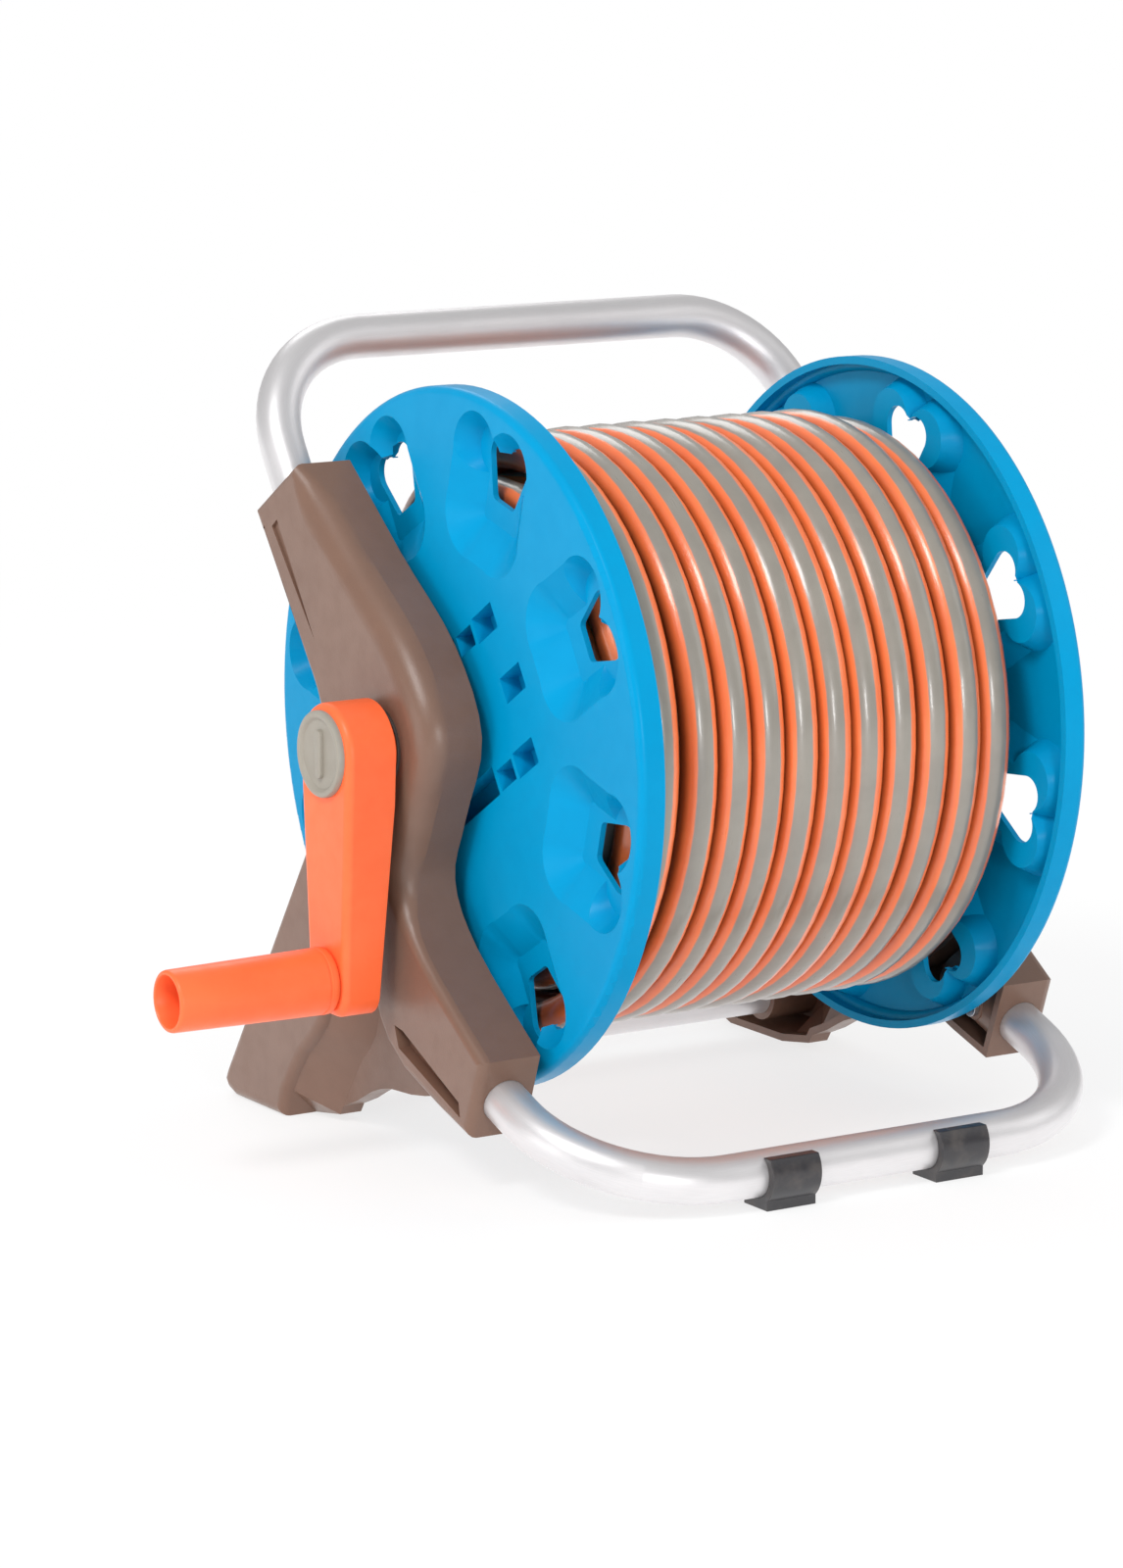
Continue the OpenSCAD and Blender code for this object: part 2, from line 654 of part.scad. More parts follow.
module pocket_hole() {
    lobe = [hole_r, hole_shift];
    corner = [hole_in_r + hole_corner, hole_in_w / 2 - hole_corner];
    n = tangent(corner, hole_corner, lobe, hole_round);
    for (m = [0, 1]) mirror([0, m]) {
        translate(lobe) circle(hole_round);
        translate(corner) circle(hole_corner);
        polygon([[hole_in_r, -over], [hole_in_r, corner[1]], corner, corner + hole_corner * n,
                 lobe + hole_round * n, lobe, [hole_r, -over]]);
    }
}
module round_pockets() {
    for (i = [0:pocket_count - 1]) rotate(pocket_phase + i * 360 / pocket_count) children();
}
module rim_profile() {
    edge = min(lip_wall, flange_wall);
    translate([0, plate_s]) square([flange_r - edge, flange_wall]);
    translate([flange_r - lip_wall, face_s - lip_depth]) square([lip_wall, lip_depth - edge]);
    translate([flange_r - edge, face_s - edge]) circle(edge);
}
module ties() {
    for (half = [0, 180]) rotate(recess_phase + half) translate([tie_r, 0, 0]) children();
}
module recess(from, to, shift, w) {
    translate([from, shift - w / 2, face_s - recess_depth]) cube([to - from, w, recess_depth + over]);
}
module hub_recesses() {
    large_from = row_recess_r - recess_l / 2;
    small_from = large_from - recess_wall - small_recess_l;
    hub_shift = (hub_boss_d + hub_recess_w) / 2 + recess_wall;
    for (half = [0, 180]) rotate(recess_phase + half) {
        recess(single_recess_r - recess_l / 2, single_recess_r + recess_l / 2, 0, recess_w);
        for (m = [-1, 1]) {
            recess(large_from, large_from + recess_l, m * row_shift, recess_w);
            recess(small_from, small_from + small_recess_l, m * row_shift, small_recess_w);
            recess(-over, small_from - recess_wall, m * hub_shift, hub_recess_w);
        }
    }
}
module flange(spigot_end_s) {
    color("#0d9bd6") along_x() difference() {
        union() {
            rotate_extrude($fn = 128) rim_profile();
            translate([0, 0, hub_s]) cylinder(h = hub_depth + over, r = hub_r);
            translate([0, 0, plate_s]) cylinder(h = boss_end_s - plate_s, r = hub_boss_d / 2);
            translate([0, 0, plate_s]) cylinder(h = spigot_end_s - plate_s, r = spigot_r);
            round_pockets() pocket(pocket_wall, cup_s, face_s);
        }
        round_pockets() {
            pocket(0, face_s - pocket_depth, face_s + over);
            translate([0, 0, cup_s - over]) linear_extrude(pocket_wall + 2 * over) pocket_hole();
        }
        hub_recesses();
    }
}
module crank_flange() {
    place() crank_side() difference() {
        union() {
            flange(drive_s);
            color("#0d9bd6") along_x() translate([-drive_side / 2, -drive_side / 2, drive_s - over])
                cube([drive_side, drive_side, drive_end_s - drive_s + over]);
        }
        rod(screw_r + seat_fit, drive_end_s - screw_len, drive_end_s + over);
        along_x() ties() translate([0, 0, hub_s - over]) {
            cylinder(h = tie_head_h + over, r = tie_head_d / 2 + 2 * seat_fit, $fn = 6);
            cylinder(h = tie_end_s - hub_s + over + seat_fit, r = tie_d / 2 + seat_fit);
        }
    }
}
module far_flange() {
    place() difference() {
        flange(far_spigot_s);
        rod(pipe_r + seat_fit, hub_s - over, far_spigot_s + over);
        along_x() translate([0, 0, spigot_clip_s - running_fit]) difference() {
            cylinder(h = clip_ring_t + 2 * running_fit, r = spigot_r + over);
            translate([0, 0, -over]) cylinder(h = clip_ring_t + 3 * over, r = spigot_r - clip_groove);
        }
        along_x() ties() {
            translate([0, 0, hub_s - over])
                cylinder(h = hub_depth + flange_wall + 2 * over, r = tie_d / 2 + seat_fit);
            translate([0, 0, face_s - tie_head_h])
                cylinder(h = tie_head_h + over, r = tie_head_d / 2 + seat_fit);
        }
    }
}
module drum_barrel() {
    place() color("#2b3038") difference() {
        rod(barrel_r, -plate_s, plate_s);
        rod(barrel_r - barrel_wall, -plate_s - over, plate_s + over);
        translate([tail_x, 0, 0]) cylinder(h = barrel_r + over, r = hose_r + 2 * seat_fit);
    }
}
// Bolts from the far side, with nuts held in the crank flange's hub
module tie_bolts() {
    place() color("#b5b5b8") along_x() ties() difference() {
        union() {
            translate([0, 0, face_s - tie_head_h]) cylinder(h = tie_head_h, r = tie_head_d / 2);
            translate([0, 0, -tie_end_s])
                cylinder(h = tie_end_s + face_s - tie_head_h, r = tie_d / 2);
        }
        translate([0, 0, face_s - 2]) cylinder(h = 2 + over, r = tie_d / 2 - 0.5, $fn = 6);
    }
}
module tie_nuts() {
    place() crank_side() color("#b5b5b8") along_x() ties() translate([0, 0, hub_s]) difference() {
        cylinder(h = tie_head_h, r = tie_head_d / 2, $fn = 6);
        translate([0, 0, -over]) cylinder(h = tie_head_h + 2 * over, r = tie_d / 2 + seat_fit / 2);
    }
}

// Water pipe from the swivel, through the far spigot, to the hose's inner end
module water_pipe() {
    place() color("#3a3d42") difference() {
        union() {
            rod(pipe_r, barb_s + barb_len, pipe_end_s);
            rod(pipe_r + 3, hub_s - 3, hub_s);
            rod(hose_bore_r, barb_s, barb_s + barb_len + over);
        }
        rod(pipe_bore / 2, barb_s - over, pipe_end_s + over);
        for (s = [seal_a_s, seal_b_s]) pipe_groove(swivel_groove_r, s, groove_w);
        pipe_groove(clip_depth_r, clip_s, clip_wire + 0.6);
    }
}
module pipe_groove(r, s, w) {
    along_x() translate([0, 0, s - w / 2]) difference() {
        cylinder(h = w, r = pipe_r + over);
        translate([0, 0, -over]) cylinder(h = w + 2 * over, r = r);
    }
}
module o_ring(inner_r, wire, s) {
    along_x() translate([0, 0, s]) rotate_extrude() translate([inner_r + wire, 0]) circle(wire, $fn = 24);
}
module pipe_seals() {
    place() color("#18181a") for (s = [seal_a_s, seal_b_s]) o_ring(swivel_groove_r + 0.01, swivel_wire, s);
}
module spigot_clip() {
    place() color("#c9c9cc") along_x() translate([0, 0, spigot_clip_s]) linear_extrude(clip_ring_t)
        difference() {
            circle(clip_ring_r);
            circle(spigot_r - clip_groove + seat_fit);
            translate([0, -3]) square([2 * clip_ring_r, 6]);
        }
}

// Hose

module hose_section() { difference() { circle(hose_r); circle(hose_bore_r + seat_fit); } }
// Inner end of the hose, pushed on the water pipe and bent out through the barrel's wall
module hose_tail() {
    place() color("#97938a") {
        plate(barb_s, barb_s + barb_len - 2) hose_section();
        translate([barb_s, 0, tail_bend]) rotate([-90, 0, 180]) rotate_extrude(angle = 90)
            translate([tail_bend, 0]) hose_section();
        translate([tail_x, 0, tail_bend]) linear_extrude(barrel_r - 0.5 - tail_bend) hose_section();
    }
}
module hose_clamp() {
    clamp_r = hose_r + seat_fit;
    place() color("#c4c4c8") {
        plate(barb_s + 10, barb_s + 19) difference() { circle(clamp_r + 0.8); circle(clamp_r); }
        along_x() translate([clamp_r + 0.5, -4, barb_s + 10]) cube([5, 8, 9]);
    }
}
// Inner layers of the hose as one plain body, with a shoulder where the outer layer starts lower
module hose_core() {
    end_s = cup_s - lay_gap;
    shoulder_s = wind_x0 - 0.7 * pitch;
    stop_s = wind_x0 - hose_r + turn_gap;
    stop_len = 16;
    place() color("#8d8a83") along_x() {
        rotate_extrude($fn = 96) {
            translate([barrel_r + lay_gap, -end_s]) square([step_r - barrel_r - lay_gap, 2 * end_s]);
            translate([barrel_r + lay_gap, -end_s])
                square([core_r - barrel_r - lay_gap, shoulder_s + end_s]);
        }
        rotate(wind_start) translate([barrel_r + 6, -hose_d - stop_len, stop_s])
            cube([core_r - barrel_r, stop_len, end_s - stop_s]);
    }
}

// Route of the winding: t counts turns from the far flange towards the crank
function turn_x(t) = wind_x0 - pitch * t - widen * ease((t - turns + 0.5) / 0.5);
function turn_r(t) =
    wind_r - climb * (1 - ease(t / 0.8)) + (end_r - wind_r) * ease((t - turns + 0.25) / 0.25);
function turn_point(t) = let (a = wind_start + 360 * t) [turn_x(t), turn_r(t) * cos(a), turn_r(t) * sin(a)];
function turn_way(t) = unit(turn_point(t + 0.001) - turn_point(t - 0.001));
function flat_way(t) = let (a = wind_start + 360 * t) [0, -sin(a), cos(a)];
route = concat([turn_point(0) - hose_d * flat_way(0)],
    [for (i = [0:steps]) turn_point(turns * i / steps)],
    [turn_point(turns) + hose_d * flat_way(turns)]);
ways = concat([flat_way(0), flat_way(0)], [for (i = [1:steps - 1]) turn_way(turns * i / steps)],
    [flat_way(turns), flat_way(turns)]);
function ring_at(p, way) =
    let (out = unit([0, p[1], p[2]]), side = unit(cross(way, out)), up = cross(side, way))
    [for (k = [0:hose_sides - 1])
        p + hose_r * (cos(360 * k / hose_sides) * up + sin(360 * k / hose_sides) * side)];
// Least gap between the tube and itself, from points more than half a turn apart
least_gap = min([for (i = [1:len(route) - 2 - loop_rings / 2], j = [i + loop_rings / 2:len(route) - 2])
    norm(route[i] - route[j])]) - hose_d;
echo(least_gap = least_gap, turns = turns, hose_length = 2 * PI * wind_r * turns);
module hose_winding() {
    n = hose_sides;
    last = len(route) - 1;
    points = [for (i = [0:last], p = ring_at(route[i], ways[i])) p];
    faces = concat(
        [for (i = [0:last - 1], k = [0:n - 1], h = [0:1])
            let (a = i * n + k, b = i * n + (k + 1) % n, c = a + n, d = b + n)
            h == 0 ? [a, b, d] : [a, d, c]],
        [for (k = [1:n - 2]) [0, k + 1, k]],
        [for (k = [1:n - 2]) [last * n, last * n + k, last * n + k + 1]]);
    place() color("#e8814d") polyhedron(points, faces);
}
module hose_fitting() {
    nose = 10;
    place() color("#4a4c50") along_x() translate([0, 0, turn_x(turns)])
        rotate(wind_start + 360 * turns) translate([turn_r(turns), hose_d, 0]) rotate([-90, 0, 0])
        difference() {
            union() {
                cylinder(h = 16, r = fitting_r);
                cylinder(h = fitting_len - nose, r = fitting_r - 1);
                cylinder(h = fitting_len, r = fitting_r - 2.5);
            }
            translate([0, 0, fitting_len - 18]) cylinder(h = 18 + over, r = hose_bore_r);
        }
}

// Crank

module arm_outline(g) {
    low = arm_end_w / 2 - arm_corner;
    end_z = grip_z - arm_end_w / 2;
    circle(arm_top_w / 2 - g);
    polygon([[-arm_top_w / 2 + g, 0], [arm_top_w / 2 - g, 0], [arm_end_w / 2 - g, end_z + arm_corner],
             [-arm_end_w / 2 + g, end_z + arm_corner]]);
    for (m = [-1, 1]) translate([m * low, end_z + arm_corner]) circle(arm_corner - g);
    translate([-low, end_z + g]) square([2 * low, arm_corner]);
}
module crank_arm() {
    slope = atan(arm_taper / (throw + (arm_end_w - arm_top_w) / 2));
    place() crank_side() color("#ff7441") difference() {
        union() {
            difference() {
                plate(arm_in_s, arm_out_s) arm_outline(0);
                plate(arm_in_s - over, arm_out_s - arm_wall) arm_outline(arm_wall);
            }
            rod(plug_d / 2 + 2, arm_in_s, arm_out_s - arm_wall + over);
            rod(hub_boss_d / 2 - 3, bush_end_s + axial_play, arm_in_s + over);
            rod(grip_pin_r + 4, arm_in_s, arm_out_s - arm_wall + over, [0, grip_z]);
        }
        translate([arm_in_s, 0, -arm_top_w / 2]) rotate([0, -slope, 0])
            translate([-arm_t, -arm_top_w, -2 * throw]) cube([arm_t, 2 * arm_top_w, 2 * throw]);
        rod(plug_d / 2, plug_s, arm_out_s + over);
        rod(screw_r + 0.5, drive_end_s - over, plug_s + over);
        rod(spigot_r + seat_fit, bush_end_s, drive_s + 0.5);
        along_x() translate([-drive_side / 2 - seat_fit, -drive_side / 2 - seat_fit, drive_s])
            cube([drive_side + 2 * seat_fit, drive_side + 2 * seat_fit, drive_end_s + seat_fit - drive_s]);
        rod(grip_pin_r + seat_fit, arm_out_s - pin_seat, arm_out_s + over, [0, grip_z]);
    }
}
module crank_screw() {
    place() crank_side() color("#b5b5b8") difference() {
        union() {
            rod(screw_head_r, plug_s, plug_s + screw_head_h);
            rod(screw_r, drive_end_s - screw_len + 2, plug_s + over);
        }
        for (turn = [0, 90]) along_x() translate([0, 0, plug_s + screw_head_h]) rotate(turn)
            cube([7, 1.4, 4], center = true);
    }
}
module crank_cap() {
    bar = [4, 15, 1.4];
    place() crank_side() color("#b9b2a8") {
        difference() {
            union() {
                rod(cap_d / 2, arm_out_s, arm_out_s + cap_t);
                rod(plug_d / 2 - seat_fit, plug_s + screw_head_h + 0.5, arm_out_s + over);
            }
            along_x() translate([0, 0, arm_out_s + cap_t - 1.4])
                cylinder(h = 1.4 + 0.01, r1 = cap_d / 2 - 4, r2 = cap_d / 2 - 2.2);
            rod(plug_d / 2 - 2.5, plug_s, arm_out_s - 1);
        }
        along_x() translate([-bar[0] / 2, -bar[1] / 2, arm_out_s + cap_t - 1.6]) cube(bar);
    }
}
module grip_pin() {
    place() crank_side() color("#c2c2c6") difference() {
        rod(grip_pin_r, arm_out_s - pin_seat + seat_fit, pin_end_s, [0, grip_z]);
        rod(screw_r, pin_end_s - 14, pin_end_s + over, [0, grip_z]);
    }
}
module grip() {
    web = 3;
    place() crank_side() color("#ff7441") along_x() translate([0, grip_z, 0]) difference() {
        translate([0, 0, grip_s])
            cylinder(h = grip_end_s - grip_s, r1 = grip_root_d / 2, r2 = grip_end_d / 2);
        difference() {
            translate([0, 0, grip_s + grip_wall]) cylinder(h = grip_web_s - web - grip_s - grip_wall,
                r1 = grip_root_d / 2 - grip_wall, r2 = grip_end_d / 2 - grip_wall);
            translate([0, 0, grip_s]) cylinder(h = grip_web_s - grip_s, r = grip_pin_r + 2);
        }
        translate([0, 0, grip_s - over])
            cylinder(h = grip_web_s - grip_s + 2 * over, r = grip_pin_r + running_fit);
        translate([0, 0, grip_web_s])
            cylinder(h = grip_end_s - grip_web_s + over, r = grip_end_d / 2 - grip_wall);
    }
}
module grip_screw() {
    place() crank_side() color("#b5b5b8") difference() {
        union() {
            rod(grip_screw_head_r, pin_end_s, pin_end_s + grip_screw_head_h, [0, grip_z]);
            rod(screw_r - seat_fit, pin_end_s - 12, pin_end_s + over, [0, grip_z]);
        }
        for (turn = [0, 90]) along_x() translate([0, grip_z, pin_end_s + grip_screw_head_h]) rotate(turn)
            cube([6, 1.2, 3], center = true);
    }
}

// Water inlet, which turns on the end of the water pipe; drawn hanging down and then turned

module inlet() { place() rotate([inlet_turn, 0, 0]) children(); }
module down_rod(r, from, to) { translate([nipple_s, 0, to]) cylinder(h = from - to, r = r); }
module inlet_elbow() {
    inlet() color("#4a4c50") difference() {
        union() {
            rod(sleeve_d / 2, sleeve_s, nipple_s);
            translate([nipple_s, 0, 0]) sphere(elbow_r);
            down_rod(elbow_r - 1, 0, collar_z);
            down_rod(elbow_r, collar_z, collar_z - collar_t);
            down_rod(nipple_r, collar_z, nipple_end_z);
            down_rod(nipple_r + 1, collar_z, collar_z - nipple_base);
        }
        rod(pipe_r + running_fit, sleeve_s - over, pipe_end_s + axial_play);
        rod(nipple_bore / 2, pipe_end_s, nipple_s);
        translate([nipple_s, 0, 0]) sphere(nipple_bore / 2);
        down_rod(nipple_bore / 2, 0, nipple_end_z - over);
        translate([nipple_s, 0, seal_z]) rotate_extrude()
            translate([nipple_r - seal_sink, -seal_wire - 0.1])
                square([2 * seal_sink, 2 * seal_wire + 0.2]);
        for (m = [-1, 1]) translate([clip_s - clip_wire / 2 - seat_fit,
                m * (clip_depth_r + seat_fit + clip_wire / 2) - clip_wire / 2 - seat_fit, -sleeve_d])
            cube([clip_wire + 2 * seat_fit, clip_wire + 2 * seat_fit, 2 * sleeve_d]);
    }
}
module elbow_clip() {
    leg_y = clip_depth_r + seat_fit;
    top_z = sleeve_d / 2;
    inlet() color("#c9c9cc") translate([clip_s - clip_wire / 2, 0, 0]) {
        for (m = [0, 1]) mirror([0, m, 0]) translate([0, leg_y, 1 - top_z])
            cube([clip_wire, clip_wire, 2 * top_z]);
        translate([0, -leg_y - clip_wire, top_z + seat_fit])
            cube([clip_wire, 2 * (leg_y + clip_wire), clip_wire]);
    }
}
module nipple_seal() {
    inlet() color("#18181a") translate([nipple_s, 0, seal_z]) rotate_extrude()
        translate([nipple_r - seal_sink + seal_wire, 0]) circle(seal_wire - 0.02, $fn = 24);
}

crank_side_panel();
far_side_panel();
handle_tube();
front_tube();
rear_tube();
left_foot_clip();
right_foot_clip();
tube_screws();
crank_bush();
far_bush();
crank_flange();
far_flange();
drum_barrel();
tie_bolts();
tie_nuts();
water_pipe();
spigot_clip();
pipe_seals();
hose_tail();
hose_clamp();
hose_core();
hose_winding();
hose_fitting();
crank_arm();
crank_screw();
crank_cap();
grip_pin();
grip();
grip_screw();
inlet_elbow();
elbow_clip();
nipple_seal();
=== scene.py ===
"""Looks of a portable garden hose reel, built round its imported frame.

Sizes are in millimetres from the middle of the drum axis, with the crank at -X, the operator at -Y
and +Z up; each finished mesh is moved into the frame's metres.
"""

from __future__ import annotations

import json
import logging
import math
from dataclasses import dataclass, field
from enum import Enum
from typing import Callable, Iterable, Sequence

import bmesh
import bpy
from mathutils import Matrix, Vector

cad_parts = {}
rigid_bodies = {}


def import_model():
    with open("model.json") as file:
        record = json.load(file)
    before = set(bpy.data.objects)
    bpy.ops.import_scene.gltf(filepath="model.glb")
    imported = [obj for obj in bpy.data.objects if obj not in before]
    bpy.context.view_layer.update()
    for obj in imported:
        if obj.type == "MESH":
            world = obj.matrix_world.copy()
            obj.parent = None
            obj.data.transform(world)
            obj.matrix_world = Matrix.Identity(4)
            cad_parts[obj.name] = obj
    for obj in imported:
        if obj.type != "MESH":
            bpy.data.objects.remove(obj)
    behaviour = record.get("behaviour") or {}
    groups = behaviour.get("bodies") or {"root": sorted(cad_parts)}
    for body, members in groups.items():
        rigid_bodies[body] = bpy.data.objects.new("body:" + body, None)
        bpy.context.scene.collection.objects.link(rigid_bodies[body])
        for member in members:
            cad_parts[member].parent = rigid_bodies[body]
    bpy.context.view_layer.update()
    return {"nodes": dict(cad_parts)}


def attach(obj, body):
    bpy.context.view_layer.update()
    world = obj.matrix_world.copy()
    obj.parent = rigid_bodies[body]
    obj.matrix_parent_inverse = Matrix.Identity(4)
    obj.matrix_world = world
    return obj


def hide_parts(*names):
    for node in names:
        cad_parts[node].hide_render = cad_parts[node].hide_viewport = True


LOG = logging.getLogger("hose_reel")
MM = 0.001
AXIS_PLACE = Vector((21.0, 4.8, 155.5))
TO_FRAME = Matrix.Scale(MM, 4) @ Matrix.Translation(AXIS_PLACE)
TURN = 2 * math.pi
ACROSS = Vector((1, 0, 0))

Triple = tuple[float, float, float]
Socket = bpy.types.NodeSocket
Edge = bmesh.types.BMEdge
Looks = dict[str, bpy.types.Material]

# Clean-up of meshes: distances in millimetres, angles in radians.
SAME_POINT = 1e-4
SAME_IN_SOLID = 2e-3
FLAT_IN_SOLID = math.radians(0.8)

# Rounding that sharp edges get: flats, least angle, and how much the shading favours large faces.
EDGE_FLATS = 2
EDGE_ANGLE = math.radians(30)
FACE_WEIGHT = 60

# Least angle in radians and flats of the wider rounding of pocket mouths and of the arm's rim.
MOUTH_CREASE, MOUTH_FLATS = 0.5, 4
RIM_CREASE, RIM_FLATS = 0.8, 7

# Sockets of the Mix node when it mixes colours.
MIX_FACTOR, MIX_FIRST, MIX_SECOND, MIX_RESULT = 0, 6, 7, 2

# Name, place in metres, side in metres and power in watts of each lamp.
LAMPS = (
    ("key", (-2.0, -1.0, 2.5), 0.8, 48),
    ("low", (-0.65, -2.4, 0.55), 0.4, 13),
    ("side", (-2.6, 0.0, 0.3), 1.2, 11),
    ("fill", (1.9, -1.2, 1.2), 1.4, 7),
    ("rim", (0.6, 1.8, 1.7), 1.0, 10),
)


class Body(Enum):
    """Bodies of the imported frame."""

    FRAME = "frame"
    DRUM = "drum"
    GRIP = "grip"
    INLET = "inlet"


def linear(colour: Triple) -> tuple[float, ...]:
    """Turns a colour as a screen shows it, 0 to 255, into a shader colour with full alpha."""
    parts = [c / 255 for c in colour]
    return (*(c / 12.92 if c <= 0.04045 else ((c + 0.055) / 1.055) ** 2.4 for c in parts), 1.0)


def shaded(colour: Sequence[float], share: float, white: float = 0.0) -> tuple[float, ...]:
    """A share of a shader colour, with an amount of white light added."""
    return (*(share * c + white for c in colour[:3]), 1.0)


def ease(t: float) -> float:
    """Smooth step from 0 to 1."""
    u = min(1.0, max(0.0, t))
    return u * u * (3 - 2 * u)


# Materials


class Signal:
    """A shader socket or a number that takes part in Python expressions."""

    def __init__(self, bench: "Bench", value: object) -> None:
        """Keeps the bench that adds nodes and the socket or number it stands for."""
        self.bench = bench
        self.value = value

    def math(self, operation: str, *others: object) -> "Signal":
        """Adds a Math node on this signal.

        Args:
            operation: Name of the Math node's operation.
            others: Further inputs, as signals or numbers.

        Returns:
            The node's result.
        """
        node = self.bench.add("ShaderNodeMath", [self, *others], operation=operation)
        return Signal(self.bench, node.outputs[0])

    def __add__(self, other: object) -> "Signal":
        """Sum of two signals."""
        return self.math("ADD", other)

    def __radd__(self, other: object) -> "Signal":
        """Sum with a number in front."""
        return Signal(self.bench, other).math("ADD", self)

    def __sub__(self, other: object) -> "Signal":
        """Difference of two signals."""
        return self.math("SUBTRACT", other)

    def __rsub__(self, other: object) -> "Signal":
        """A number less this signal."""
        return Signal(self.bench, other).math("SUBTRACT", self)

    def __mul__(self, other: object) -> "Signal":
        """Product of two signals."""
        return self.math("MULTIPLY", other)

    def __rmul__(self, other: object) -> "Signal":
        """Product with a number in front."""
        return Signal(self.bench, other).math("MULTIPLY", self)

    def between(self, low: float, high: float) -> "Signal":
        """Smooth step from 0 at low to 1 at high.

        Args:
            low: Value that gives 0.
            high: Value that gives 1.

        Returns:
            The stepped signal.
        """
        inputs = {"Value": self, "From Min": low, "From Max": high}
        settings = {"interpolation_type": "SMOOTHSTEP", "clamp": True}
        node = self.bench.add("ShaderNodeMapRange", inputs, **settings)
        return Signal(self.bench, node.outputs["Result"])


class Bench:
    """The node tree of one material, with short ways to add nodes."""

    def __init__(self, name: str) -> None:
        """Makes an empty material of that name."""
        self.material = bpy.data.materials.new(name)
        self.material.use_nodes = True
        self.tree = self.material.node_tree
        self.tree.nodes.clear()

    def add(self, kind: str, inputs: object = None, **settings: object) -> bpy.types.Node:
        """Adds a node.

        Args:
            kind: The node's type.
            inputs: Values or links of its sockets, as a list in order or a dict by name.
            settings: Its settings, set before its inputs.

        Returns:
            The node.
        """
        node = self.tree.nodes.new(kind)
        for key, value in settings.items():
            setattr(node, key, value)
        pairs = inputs.items() if isinstance(inputs, dict) else enumerate(inputs or [])
        for key, value in pairs:
            value = value.value if isinstance(value, Signal) else value
            if isinstance(value, Socket):
                self.tree.links.new(value, node.inputs[key])
            else:
                node.inputs[key].default_value = value
        return node

    def place(self, scale: Triple = (1, 1, 1), turn: Triple = (0, 0, 0)) -> Socket:
        """Object coordinates, stretched along each axis and turned about it in radians."""
        source = self.add("ShaderNodeTexCoord").outputs["Object"]
        inputs = {"Vector": source, "Scale": scale, "Rotation": turn}
        return self.add("ShaderNodeMapping", inputs).outputs["Vector"]

    def noise(self, where: Socket, scale: float, detail: float = 3, rough: float = 0.55) -> Signal:
        """Noise from 0 to 1 with its middle at a half and its scale in spots per metre."""
        inputs = {"Vector": where, "Scale": scale, "Detail": detail, "Roughness": rough}
        return Signal(self, self.add("ShaderNodeTexNoise", inputs).outputs["Fac"])

    def mix(self, factor: object, first: object, second: object) -> Socket:
        """Mixes two colours.

        Args:
            factor: Share of the second colour.
            first: Triple at 0.
            second: Triple at 1.

        Returns:
            The mixed colour.
        """
        inputs = {MIX_FACTOR: factor, MIX_FIRST: first, MIX_SECOND: second}
        return self.add("ShaderNodeMix", inputs, data_type="RGBA").outputs[MIX_RESULT]

    def bump(
        self, height: Signal, depth: float, strength: float = 1.0, under: object = None
    ) -> Socket:
        """Bump of a given depth.

        Args:
            height: Height from 0 to 1.
            depth: Depth in metres that a height of 1 stands for.
            strength: Share of the effect.
            under: Normal of a finer bump that this one is laid on.

        Returns:
            The normal.
        """
        inputs = {"Strength": strength, "Distance": depth, "Height": height}
        if under is not None:
            inputs["Normal"] = under
        return self.add("ShaderNodeBump", inputs).outputs["Normal"]

    def run(self, scale: Triple | None = None) -> Socket:
        """A tube's cosine and sine round it and metres along it, each stretched if wanted."""
        run = self.add("ShaderNodeAttribute", attribute_name="run").outputs["Vector"]
        if scale is None:
            return run
        return self.add("ShaderNodeMapping", {"Vector": run, "Scale": scale}).outputs["Vector"]

    def surface(self, **inputs: object) -> bpy.types.Material:
        """Closes the tree with a Principled shader.

        Args:
            inputs: Its inputs by name, with underscores for spaces.

        Returns:
            The finished material.
        """
        values = {key.replace("_", " "): value for key, value in inputs.items()}
        shader = self.add("ShaderNodeBsdfPrincipled", values)
        self.add("ShaderNodeOutputMaterial", {"Surface": shader.outputs["BSDF"]})
        return self.material


